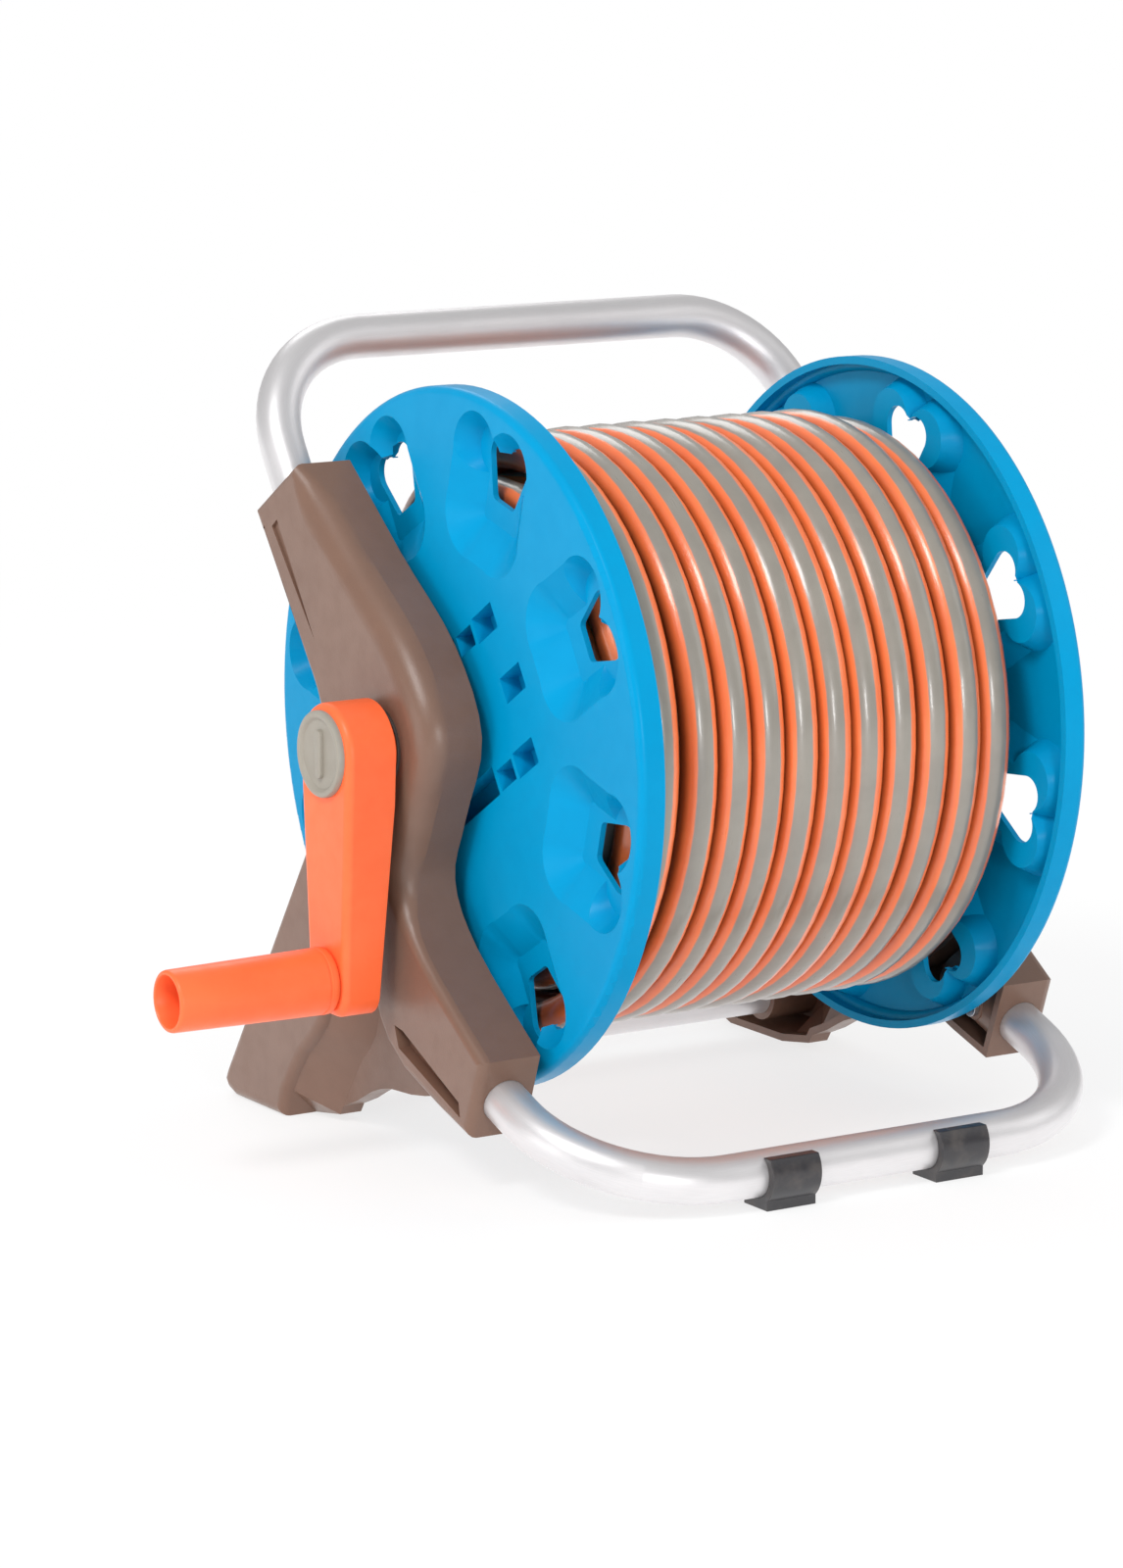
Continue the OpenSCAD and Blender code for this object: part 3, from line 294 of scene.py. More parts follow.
@dataclass(frozen=True)
class MouldedPlastic:
    """Injection-moulded plastic: a fine grain, slow colour drift and faint scuffs.

    Attributes:
        slot: Material slot of the record.
        colour: Main colour, 0 to 255.
        shade: Triple that it drifts to, 0 to 255.
        roughness: Middle roughness.
        grain: Grains per metre.
        depth: Depth of the grain in metres.
        scuffs: Share of scuffed surface, 0 to 1.
        specular: Strength of the reflection at right angles.
    """

    slot: str
    colour: Triple
    shade: Triple
    roughness: float = 0.4
    grain: float = 1400
    depth: float = 0.00004
    scuffs: float = 0.3
    specular: float = 0.5

    def build(self) -> bpy.types.Material:
        """Builds the material."""
        bench = Bench(self.slot)
        where = bench.place()
        drift = bench.noise(where, scale=16, detail=2).between(0.35, 0.7)
        mottle = bench.noise(where, scale=130, detail=4).between(0.3, 0.75)
        slanted = bench.place(scale=(1, 9, 1), turn=(0.6, 0.2, 0.4))
        scuff = bench.noise(slanted, scale=90, detail=5).between(0.62, 0.8) * self.scuffs
        main, shade = linear(self.colour), linear(self.shade)
        drifted = bench.mix(drift * 0.45 + mottle * 0.3, main, shade)
        grain = bench.noise(where, self.grain, detail=2)
        sink = bench.noise(where, scale=22, detail=1)
        fine = bench.bump(grain, self.depth)
        return bench.surface(
            Base_Color=bench.mix(scuff * 0.35, drifted, shaded(main, 0.75, white=0.2)),
            Roughness=self.roughness + mottle * 0.07 + scuff * 0.14,
            Specular_IOR_Level=self.specular,
            Normal=bench.bump(sink, depth=0.0006, strength=0.35, under=fine),
        )


@dataclass(frozen=True)
class DrawnTube:
    """Satin aluminium tube with the lengthwise streaks of drawing.

    Attributes:
        slot: Material slot of the record.
        colour: Metal colour, 0 to 255.
        roughness: Middle roughness.
    """

    slot: str
    colour: Triple = (218, 216, 217)
    roughness: float = 0.4

    def build(self) -> bpy.types.Material:
        """Builds the material; the streaks follow the piece's own run attribute."""
        bench = Bench(self.slot)
        streak = bench.noise(bench.run((5, 5, 14)), scale=9, detail=6, rough=0.7)
        cloud = bench.noise(bench.place(), scale=40).between(0.3, 0.75)
        metal = linear(self.colour)
        dulled = streak.between(0.35, 0.7) * 0.35 + cloud * 0.2
        return bench.surface(
            Base_Color=bench.mix(dulled, metal, shaded(metal, 0.8)),
            Metallic=0.72,
            Roughness=self.roughness + streak * 0.14 + cloud * 0.05 - 0.07,
            Normal=bench.bump(streak, depth=0.00002),
        )


@dataclass(frozen=True)
class PlatedSteel:
    """Zinc-plated steel of the screws, bolts and clips.

    Attributes:
        slot: Material slot of the record.
        colour: Metal colour, 0 to 255.
    """

    slot: str
    colour: Triple = (190, 191, 196)

    def build(self) -> bpy.types.Material:
        """Builds the material."""
        bench = Bench(self.slot)
        where = bench.place()
        cloud = bench.noise(where, scale=260, detail=4).between(0.3, 0.7)
        fine = bench.noise(where, scale=2600, detail=2)
        metal = linear(self.colour)
        return bench.surface(
            Base_Color=bench.mix(cloud * 0.5, metal, shaded(metal, 0.62)),
            Metallic=1.0,
            Roughness=0.28 + cloud * 0.16,
            Normal=bench.bump(fine, depth=0.00001),
        )


@dataclass(frozen=True)
class SoftRubber:
    """Black rubber with a dusty bloom.

    Attributes:
        slot: Material slot of the record.
        colour: Main colour, 0 to 255.
        roughness: Roughness without the bloom.
        dust: Colour of the bloom, 0 to 255.
    """

    slot: str
    colour: Triple = (25, 23, 29)
    roughness: float = 0.3
    dust: Triple = (84, 77, 72)

    def build(self) -> bpy.types.Material:
        """Builds the material."""
        bench = Bench(self.slot)
        where = bench.place()
        bloom = bench.noise(where, scale=120, detail=4).between(0.4, 0.75)
        grain = bench.noise(where, scale=1900, detail=2)
        return bench.surface(
            Base_Color=bench.mix(bloom * 0.5, linear(self.colour), linear(self.dust)),
            Roughness=self.roughness + bloom * 0.15,
            Specular_IOR_Level=0.7,
            Normal=bench.bump(grain, depth=0.00005),
        )


@dataclass(frozen=True)
class BandedHose:
    """Glossy PVC hose with two lengthwise grey bands on orange.

    Attributes:
        slot: Material slot of the record.
        orange: Ground colour, 0 to 255.
        orange_low: Colour that it drifts to.
        grey: Colour of the bands, 0 to 255.
        grey_low: Colour that they drift to.
        shadow: Painted shade, 0 to 255, for the side that lies on the layer below and the sides
            against the next turns.
        phase: Turn of the bands round the hose in radians.
        grey_share: Grey share of the way round.
        blur: Half width of a band's edge, as a step of the wave that draws the bands.
        sway: Span of the same wave by which the edges wander.
        ply: Threads of the braid per metre, in radians.
    """

    slot: str
    orange: Triple = (240, 120, 62)
    orange_low: Triple = (230, 102, 46)
    grey: Triple = (139, 134, 125)
    grey_low: Triple = (121, 116, 108)
    # Painted shade colour for the grooves between turns.
    shadow: Triple = (62, 26, 14)
    phase: float = -1.96
    grey_share: float = 0.3
    blur: float = 0.08
    sway: float = 0.3
    ply: float = 900.0

    def build(self) -> bpy.types.Material:
        """Builds the material; the bands follow the piece's own run attribute."""
        bench = Bench(self.slot)
        split = bench.add("ShaderNodeSeparateXYZ", [bench.run()])
        cos_a, sin_a, length = (Signal(bench, split.outputs[i]) for i in range(3))
        twice_sin = 2 * sin_a * cos_a
        twice_cos = cos_a * cos_a - sin_a * sin_a
        wave = twice_sin * math.cos(self.phase) + twice_cos * math.sin(self.phase)
        where = bench.place()
        slow = bench.noise(where, scale=9, detail=2)
        level = -math.cos(math.pi * self.grey_share)
        swayed = wave + (slow - 0.5) * self.sway
        band = swayed.between(level - self.blur, level + self.blur)
        # Painted shade: the colour darkens towards the sides of the hose, away from its outward
        # face, where the turns lie against each other.
        groove = 1 - cos_a.between(0.0, 0.8)
        cloud = bench.noise(where, scale=55).between(0.3, 0.7)
        deep = bench.mix(cloud * 0.5, linear(self.orange), linear(self.orange_low))
        stone = bench.mix(cloud * 0.5, linear(self.grey), linear(self.grey_low))
        banded = bench.mix(band, stone, deep)
        scrape = bench.noise(bench.run((3, 3, 30)), scale=4, detail=5, rough=0.65)
        weave_a = (cos_a * 7 + length * self.ply).math("SINE")
        weave_b = (sin_a * 7 - length * self.ply).math("SINE")
        weave = weave_a * weave_b * 0.5 + 0.5
        return bench.surface(
            Base_Color=bench.mix(groove * 0.75, banded, linear(self.shadow)),
            Roughness=0.22 + scrape * 0.14 + cloud * 0.05,
            Specular_IOR_Level=0.6,
            Coat_Weight=0.35 + cloud * 0.15,
            Coat_Roughness=0.15,
            Normal=bench.bump(weave * 0.4 + scrape, depth=0.00006),
        )


# Mesh tools


class Shape:
    """A mesh under construction, in millimetres from the middle of the drum axis."""

    def __init__(self, name: str) -> None:
        """Starts an empty mesh for a piece of that name."""
        self.name = name
        self.mesh = bmesh.new()

    def lathe(
        self, profile: Sequence[tuple[float, float]], steps: int, closed: bool = False
    ) -> "Shape":
        """Spins a profile about the X axis.

        Args:
            profile: Points as distance along X and radius.
            steps: Number of flats round the axis.
            closed: Whether the last point joins the first.

        Returns:
            This shape.
        """
        verts = [self.mesh.verts.new((x, 0, r)) for x, r in profile]
        pairs = list(zip(verts, verts[1:])) + ([(verts[-1], verts[0])] if closed else [])
        edges = [self.mesh.edges.new(pair) for pair in pairs]
        bmesh.ops.spin(
            self.mesh, geom=verts + edges, cent=(0, 0, 0), axis=ACROSS, dvec=(0, 0, 0),
            angle=TURN, steps=steps, use_merge=True, use_normal_flip=False, use_duplicate=False,
        )
        bmesh.ops.remove_doubles(self.mesh, verts=self.mesh.verts, dist=SAME_POINT)
        bmesh.ops.recalc_face_normals(self.mesh, faces=self.mesh.faces)
        return self

    def block(self, low: Sequence[float], high: Sequence[float]) -> "Shape":
        """Adds a box between two corners.

        Args:
            low: Lowest corner.
            high: Highest corner.

        Returns:
            This shape.
        """
        low, high = Vector(low), Vector(high)
        size = Matrix.Diagonal((*(high - low), 1))
        bmesh.ops.create_cube(self.mesh, size=1, matrix=Matrix.Translation((low + high) / 2) @ size)
        return self

    def bevel(self, chosen: Callable[[Edge], bool], width: float, segments: int) -> None:
        """Rounds some edges.

        Args:
            chosen: Says whether an edge is rounded.
            width: Width of the rounding.
            segments: Number of its flats.
        """
        edges = [e for e in self.mesh.edges if len(e.link_faces) == 2 and chosen(e)]
        bmesh.ops.bevel(
            self.mesh, geom=edges, offset=width, offset_type="OFFSET", segments=segments,
            profile=0.5, affect="EDGES", material=-1, clamp_overlap=True,
        )

    def move(self, matrix: Matrix) -> None:
        """Moves the whole mesh."""
        bmesh.ops.transform(self.mesh, matrix=matrix, verts=self.mesh.verts)

    def finish(
        self, body: Body, looks: Looks, slot: str, replaces: Sequence[str], angle: float = 35,
        edge: float = 0.0,
    ) -> None:
        """Makes the object and fastens it to its body.

        Args:
            body: Body that it rides on.
            looks: Materials by slot.
            slot: Its own slot.
            replaces: Nodes that it stands for.
            angle: Least angle in degrees that is shaded as an edge.
            edge: Width of the rounding that sharp edges get, or 0.
        """
        self.move(TO_FRAME)
        data = bpy.data.meshes.new(self.name)
        self.mesh.to_mesh(data)
        self.mesh.free()
        piece = bpy.data.objects.new(self.name, data)
        bpy.context.scene.collection.objects.link(piece)
        data.materials.append(looks[slot])
        for polygon in data.polygons:
            polygon.use_smooth = True
        data.set_sharp_from_angle(angle=math.radians(angle))
        if edge:
            bevel = piece.modifiers.new("edges", "BEVEL")
            bevel.width, bevel.segments = edge * MM, EDGE_FLATS
            bevel.limit_method, bevel.angle_limit = "ANGLE", EDGE_ANGLE
            normals = piece.modifiers.new("normals", "WEIGHTED_NORMAL")
            normals.keep_sharp, normals.weight = True, FACE_WEIGHT
        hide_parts(*replaces)
        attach(piece, body.value)
        LOG.info("%s rides on %s", self.name, body.value)


def copy_of(node: bpy.types.Object, name: str) -> Shape:
    """A node's own solid as a joined mesh in millimetres.

    Args:
        node: The frame's object.
        name: Name of the finished piece.

    Returns:
        The shape.
    """
    shape = Shape(name)
    shape.mesh.from_mesh(node.data)
    shape.move(TO_FRAME.inverted())
    bmesh.ops.remove_doubles(shape.mesh, verts=shape.mesh.verts, dist=SAME_IN_SOLID)
    bmesh.ops.dissolve_limit(
        shape.mesh, angle_limit=FLAT_IN_SOLID, verts=shape.mesh.verts, edges=shape.mesh.edges
    )
    return shape


def sweep(
    shape: Shape, centres: Sequence[Vector], ways: Sequence[Vector], outs: Sequence[Vector],
    radius: float, bore: float, sides: int, twist: Callable[[float], float] = lambda s: 0.0,
) -> None:
    """Draws a tube along a route and records where each point lies on it.

    The shape's run layer gets the cosine and sine round the tube and the metres along it.

    Args:
        shape: Shape that receives the tube.
        centres: Points of the route.
        ways: Direction of the route at each point.
        outs: Direction of angle 0 round the tube at each point.
        radius: Outer radius.
        bore: Radius of the bore.
        sides: Flats round the tube.
        twist: Turn of the recorded angle, in radians, at a distance in millimetres.
    """
    mesh = shape.mesh
    layer = mesh.verts.layers.float_vector.new("run")

    def stand(i: int) -> Matrix:
        """Matrix of the section at a point of the route."""
        way = ways[i].normalized()
        side = way.cross(outs[i]).normalized()
        out = side.cross(way)
        return Matrix.Translation(centres[i]) @ Matrix((out, side, way)).transposed().to_4x4()

    def note(verts: Iterable[bmesh.types.BMVert], matrix: Matrix, distance: float) -> None:
        """Records the place of a ring's points on the tube."""
        back = matrix.inverted()
        for vert in verts:
            local = back @ vert.co
            angle = math.atan2(local.y, local.x) + twist(distance)
            vert[layer] = Vector((math.cos(angle), math.sin(angle), distance * MM))

    first = stand(0)
    loops = []
    for r in (radius, bore):
        made = bmesh.ops.create_circle(mesh, segments=sides, radius=r, matrix=first)["verts"]
        note(made, first, 0.0)
        loops.append(list({e for v in made for e in v.link_edges}))
    start = [list(edges) for edges in loops]
    last, distance = first, 0.0
    for i in range(1, len(centres)):
        distance += (centres[i] - centres[i - 1]).length
        here = stand(i)
        for k, edges in enumerate(loops):
            grown = bmesh.ops.extrude_edge_only(mesh, edges=edges)["geom"]
            verts = [g for g in grown if isinstance(g, bmesh.types.BMVert)]
            bmesh.ops.transform(mesh, matrix=here @ last.inverted(), verts=verts)
            note(verts, here, distance)
            loops[k] = [g for g in grown if isinstance(g, Edge)]
        last = here
    for outer, inner in (start, loops):
        bmesh.ops.bridge_loops(mesh, edges=outer + inner)
    bmesh.ops.recalc_face_normals(mesh, faces=mesh.faces)


# Sub-assemblies


@dataclass
class Assembly:
    """Base of the sub-assemblies.

    Attributes:
        nodes: The frame's objects by the name of their node.
        looks: Materials by slot.
    """

    nodes: dict[str, bpy.types.Object]
    looks: Looks

    def dress(self, body: Body, parts: Iterable[tuple[str, str, float]]) -> None:
        """Builds pieces that keep the shape of their node.

        Args:
            body: Body that they ride on.
            parts: Node, slot and width of the rounded edges of each.
        """
        for node, slot, edge in parts:
            shape = copy_of(self.nodes[node], node + "_made")
            shape.finish(body, self.looks, slot, [node], edge=edge)


@dataclass(frozen=True)
class BentTube:
    """A tube with a bar along X and two legs that go into the panels.

    Attributes:
        node: Node that it replaces.
        out: Distance of the legs from the panels' inner planes.
        bar: Y and Z of the bar.
        leg: Length of the legs outside the panels.
        bend: Radius of the bends.
        turn: Direction of the legs away from the bar, in degrees from +Y towards +Z.
    """

    node: str
    out: float
    bar: tuple[float, float]
    leg: float
    bend: float
    turn: float

    def way(self) -> Vector:
        """Direction of the legs away from the bar."""
        return Vector((0, math.cos(math.radians(self.turn)), math.sin(math.radians(self.turn))))

    def route(self, inner: float, socket: float) -> tuple[list[Vector], list[Vector]]:
        """Route from the crank side to the far side.

        Args:
            inner: Distance of the panels' inner planes from the middle.
            socket: Length of a leg in its panel.

        Returns:
            Its points and directions.
        """
        middle, down, half = Vector((0, *self.bar)), self.way(), inner + self.out
        bend, leg, tip, steps = self.bend, self.leg + socket, 14.0, 16
        centres, ways = [], []
        for d in (leg, leg - tip, bend + (leg - bend) * 0.35, bend):
            centres.append(middle - ACROSS * half + down * d)
            ways.append(-down)
        pivot = middle - ACROSS * (half - bend) + down * bend
        for k in range(1, steps + 1):
            a = math.pi / 2 * k / steps
            centres.append(pivot - (ACROSS * math.cos(a) + down * math.sin(a)) * bend)
            ways.append(ACROSS * math.sin(a) - down * math.cos(a))
        mirrored = [Vector((-p.x, p.y, p.z)) for p in reversed(centres)]
        turned = [Vector((w.x, -w.y, -w.z)) for w in reversed(ways)]
        return centres + mirrored, ways + turned


@dataclass
class Stand(Assembly):
    """Side panels, tubes, foot clips, bushes and screws, which stay still.

    Attributes:
        inner: Distance of a panel's inner plane from the middle.
        tube_r: Outer radius of the tubes.
        tube_bore: Radius of their bore.
        sides: Flats round a tube.
        bent: The carry handle and the front tube.
        rear_bar: Y and Z of the rear tube.
        socket: Length of a leg in its panel.
        rear_socket: Length of the rear tube in a panel.
    """

    inner: float = 103.0
    tube_r: float = 8.5
    tube_bore: float = 7.0
    sides: int = 40
    bent: tuple[BentTube, ...] = (
        BentTube("handle_tube", 14.0, (114.0, 137.0), 61.0, 45.0, 237.0),
        BentTube("front_tube", 11.5, (-128.0, -143.1), 66.5, 55.0, 20.0),
    )
    rear_bar: tuple[float, float] = (96.0, -138.5)
    socket: float = 34.0
    rear_socket: float = 16.0

    def tube(self, node: str, centres: list[Vector], ways: list[Vector], flat: Vector) -> None:
        """Builds one tube.

        Args:
            node: Node that it replaces.
            centres: Points of its route.
            ways: Direction at each of them.
            flat: Normal of the plane that it lies in.
        """
        shape, outs = Shape(node + "_drawn"), [flat] * len(centres)
        sweep(shape, centres, ways, outs, self.tube_r, self.tube_bore, self.sides)
        shape.finish(Body.FRAME, self.looks, "tube_aluminium", [node], angle=50)

    def tubes(self) -> None:
        """Builds the handle, the front tube and the rear tube."""
        for bent in self.bent:
            centres, ways = bent.route(self.inner, self.socket)
            self.tube(bent.node, centres, ways, bent.way().cross(ACROSS))
        end, tip = self.inner + self.rear_socket, 20.0
        centres = [Vector((x, *self.rear_bar)) for x in (-end, tip - end, 0, end - tip, end)]
        self.tube("rear_tube", centres, [ACROSS] * len(centres), Vector((0, 0, 1)))

    def panels(self) -> None:
        """Gives the side panels their moulded finish."""
        for node in ("crank_side_panel", "far_side_panel"):
            shape = copy_of(self.nodes[node], node + "_moulded")
            shape.finish(Body.FRAME, self.looks, "panel_brown", [node], angle=33, edge=0.5)

    def build(self) -> None:
        """Builds every still piece."""
        self.tubes()
        self.panels()
        self.dress(Body.FRAME, (
            ("left_foot_clip", "foot_rubber", 0.5),
            ("right_foot_clip", "foot_rubber", 0.5),
            ("crank_bush", "bush_nylon", 0.3),
            ("far_bush", "bush_nylon", 0.3),
            ("tube_screws", "steel", 0.15),
        ))


@dataclass
class Hose(Assembly):
    """The wound hose with its inner layers, its inner end and its fitting.

    Attributes:
        radius: Outer radius of the hose.
        bore: Radius of its bore.
        pitch: Distance from turn to turn.
        cup: Distance of the flanges' pocket floors from the middle.
        wind_r: Radius of the outer layer's middle line.
        lay_gap: Gap between the winding and what it lies against.
        climb: Height that the first part of the outer layer still has to rise.
        start_angle: Angle of its start round the axis.
        fitting_r: Outer radius of the fitting.
        fitting_room: Room beside the fitting.
        core_r: Radius that the fitting rests on.
        loops: Straight stretches in a turn, of the outer layer and of those under it.
        sides: Flats round the hose, likewise.
        straight: Straight length at the free end.
        below_r: Radii of the layers under the outer one.
        room: Width beside the far flange that the upper of them leaves free.
        rise: Turn in which the hose rises from it to the outer layer.
        cross: Turn in which it crosses the free width before that.
        first_x: Place of the outer layer's start along the axis.
        widen: Width by which the hose makes room for the fitting.
        turns: Turns of the outer layer.
        end_r: Radius of its end.
    """

    radius: float = 6.9
    bore: float = 5.3
    pitch: float = 14.4
    cup: float = 86.4
    wind_r: float = 104.6
    lay_gap: float = 0.3
    climb: float = 4.0
    start_angle: float = math.radians(18)
    fitting_r: float = 9.0
    fitting_room: float = 1.2
    core_r: float = 96.5
    loops: tuple[int, int] = (60, 40)
    sides: tuple[int, int] = (20, 12)
    straight: float = 13.8
    below_r: tuple[float, float] = (75.0, 89.3)
    room: float = 20.0
    rise: float = math.radians(40)
    cross: float = math.radians(90)
    first_x: float = field(init=False)
    widen: float = field(init=False)
    turns: float = field(init=False)
    end_r: float = field(init=False)

    def __post_init__(self) -> None:
        """Works out the winding's ends as the solid does."""
        spare, half_span = 0.3, math.radians(7.5)
        self.first_x = self.cup - self.lay_gap - self.radius
        last_x = -(self.cup - self.lay_gap - self.fitting_r)
        beside = self.fitting_r + self.radius + self.fitting_room
        self.widen = max(0.0, beside - self.pitch + spare)
        self.turns = (self.first_x - last_x - self.widen) / self.pitch
        sag = self.wind_r * (1 - math.cos(half_span))
        self.end_r = self.core_r + self.lay_gap + self.fitting_r + sag

    @staticmethod
    def on_winding(x: float, r: float, angle: float) -> Vector:
        """Point at a place along the axis, a radius and an angle."""
        return Vector((x, r * math.cos(angle), r * math.sin(angle)))

    def outer_point(self, t: float) -> Vector:
        """Middle of the outer layer after t turns."""
        widen_in, lift_in, climb_in, waver = 0.5, 0.25, 0.8, 0.12
        widened = ease((t - self.turns + widen_in) / widen_in)
        lifted = ease((t - self.turns + lift_in) / lift_in)
        climbing = self.climb * (1 - ease(t / climb_in))
        a = self.start_angle + TURN * t
        x = self.first_x - self.pitch * t - self.widen * widened
        x += waver * math.sin(a * 1.3 + 0.4) * ease(t) * ease(self.turns - t)
        r = self.wind_r - climbing + (self.end_r - self.wind_r) * lifted
        return self.on_winding(x, r, a)

    @staticmethod
    def ways(points: Sequence[Vector]) -> list[Vector]:
        """Direction of a route at each of its points."""
        last = len(points) - 1
        return [points[min(i + 1, last)] - points[max(i - 1, 0)] for i in range(last + 1)]

    def tube(self, name: str, points: list[Vector], replaces: Sequence[str], sides: int) -> None:
        """Builds one wound stretch of hose, with bands that turn slowly to and fro.

        Args:
            name: Name of the piece.
            points: Points of its route.
            replaces: Nodes that it stands for.
            sides: Flats round it.
        """
        outs = [Vector((0, p.y, p.z)).normalized() for p in points]
        turn, twist, rate = TURN * self.wind_r, 0.12, 0.9
        shape = Shape(name)
        sweep(
            shape, points, self.ways(points), outs, self.radius, self.bore, sides,
            lambda s: twist * math.sin(s / turn * rate),
        )
        shape.finish(Body.DRUM, self.looks, "hose_pvc", replaces, angle=60)

    def outer_layer(self) -> None:
        """Builds the layer that shows, as one unbroken hose."""
        steps = math.ceil(self.turns * self.loops[0])
        points = [self.outer_point(self.turns * i / steps) for i in range(steps + 1)]
        points = [*self.way_up(), *points, points[-1] + self.end_way() * self.straight]
        self.tube("hose_outer_layer", points, ["hose_winding"], self.sides[0])

    def way_up(self) -> list[Vector]:
        """Route from the layer below to the start of the outer layer."""
        points, steps, low = [], 30, self.below_r[1]
        for i in range(steps):
            back = (self.rise + self.cross) * (1 - i / steps)
            r = low + (self.wind_r - self.climb - low) * ease(1 - back / self.rise)
            x = self.first_x - self.room * ease((back - self.rise) / self.cross)
            points.append(self.on_winding(x, r, self.start_angle - back))
        return points

    def end_way(self) -> Vector:
        """Direction in which the outer layer ends."""
        a = self.start_angle + TURN * self.turns
        return Vector((0, -math.sin(a), math.cos(a)))

    def inner_layers(self) -> None:
        """Builds the layers under it, which the flange holes show."""
        last = self.start_angle - self.rise - self.cross
        for k, (r, way, free) in enumerate(zip(self.below_r, (-1, 1), (0.0, self.room)), 1):
            reach = 2 * self.first_x - free
            turns = reach / self.pitch
            steps = math.ceil(turns * self.loops[1])
            points = []
            for i in range(steps + 1):
                a = last - TURN * turns * (1 - i / steps) * way
                points.append(self.on_winding(-self.first_x + reach * i / steps, r, a))
            self.tube(f"hose_under_layer_{k}", points, ["hose_core"], self.sides[1])

    def inner_end(self) -> None:
        """Builds the end that joins the water pipe, bent out through the barrel."""
        barb, bend, steps = 40.0, 42.0, 14
        points = [Vector((barb + x, 0, 0)) for x in (24, 16, 8, 0)]
        for a in (math.pi / 2 * k / steps for k in range(1, steps + 1)):
            points.append(Vector((barb - bend * math.sin(a), 0, bend - bend * math.cos(a))))
        points += [Vector((barb - bend, 0, z)) for z in (50, 58, 65)]
        outs = [Vector((0, 1, 0))] * len(points)
        ways = self.ways(points)
        shape = Shape("hose_inner_end")
        sweep(shape, points, ways, outs, self.radius, self.bore, self.sides[0])
        shape.finish(Body.DRUM, self.looks, "hose_pvc", ["hose_tail"], angle=60)

    def fitting(self) -> None:
        """Builds the fitting on the free end, with a fluted collar."""
        r, bore = self.fitting_r, self.bore
        flats, every, depth, collar = 72, 3, 0.045, (2, 14)
        profile = [
            (0, bore), (0, r - 1.2), (0.8, r - 0.2), (collar[0], r), (collar[1], r),
            (15.2, r - 0.4), (15.6, r - 1.4), (17, r - 1.4), (17.6, r - 1), (28, r - 1),
            (29, r - 1.3), (30, r - 2.5), (38.6, r - 2.7), (40, r - 3.6), (40, bore),
            (22, bore - 0.4),
        ]
        shape = Shape("hose_end_fitting").lathe(profile, flats, closed=True)
        for vert in shape.mesh.verts:
            if collar[0] - 0.1 < vert.co.x < collar[1] + 0.1 and vert.co.yz.length > r - 0.1:
                angle = math.atan2(vert.co.z, vert.co.y)
                vert.co.yz = vert.co.yz * (1 - depth * (round(angle / TURN * flats) % every == 0))
        here = self.outer_point(self.turns)
        out = Vector((0, here.y, here.z)).normalized()
        way = self.end_way()
        stand = Matrix((way, out, way.cross(out))).transposed().to_4x4()
        shape.move(Matrix.Translation(here + way * self.straight) @ stand)
        shape.finish(Body.DRUM, self.looks, "fitting_black", ["hose_fitting"], angle=40)

    def build(self) -> None:
        """Builds the hose."""
        self.outer_layer()
        self.inner_layers()
        self.inner_end()
        self.fitting()


@dataclass
class Drum(Assembly):
    """Flanges, barrel, bolts and the water pipe.

    Attributes:
        face: Distance of the flanges' outer planes from the middle.
        ring: Radii between which the mouths of the pockets lie.
        mouth_round: Width of the rounding of those mouths.
        mouth_gap: Distance under which two points of a mouth become one.
    """

    face: float = 97.0
    ring: tuple[float, float] = (66.0, 126.5)
    mouth_round: float = 1.6
    mouth_gap: float = 0.25

    def on_ring(self, vert: bmesh.types.BMVert) -> bool:
        """Whether a point lies on an outer plane where the pockets are."""
        on_plane = abs(abs(vert.co.x) - self.face) < 0.02
        return on_plane and self.ring[0] < vert.co.yz.length < self.ring[1]

    def on_mouth(self, edge: Edge) -> bool:
        """Whether an edge is on a pocket's mouth."""
        creased = edge.calc_face_angle(0) > MOUTH_CREASE
        return creased and all(self.on_ring(v) for v in edge.verts)

    def flanges(self) -> None:
        """Gives the flanges softly rounded pocket mouths and finely rounded edges."""
        for node in ("crank_flange", "far_flange"):
            shape = copy_of(self.nodes[node], node + "_moulded")
            near = [v for v in shape.mesh.verts if self.on_ring(v)]
            bmesh.ops.remove_doubles(shape.mesh, verts=near, dist=self.mouth_gap)
            shape.bevel(self.on_mouth, self.mouth_round, MOUTH_FLATS)
            shape.finish(Body.DRUM, self.looks, "flange_blue", [node], angle=33, edge=0.35)

    def build(self) -> None:
        """Builds the drum."""
        self.flanges()
        self.dress(Body.DRUM, (
            ("drum_barrel", "barrel_black", 0.4),
            ("tie_bolts", "steel", 0.3),
            ("tie_nuts", "steel", 0.25),
            ("water_pipe", "fitting_black", 0.2),
            ("spigot_clip", "steel", 0.15),
            ("pipe_seals", "seal_black", 0.0),
            ("hose_clamp", "steel", 0.15),
        ))


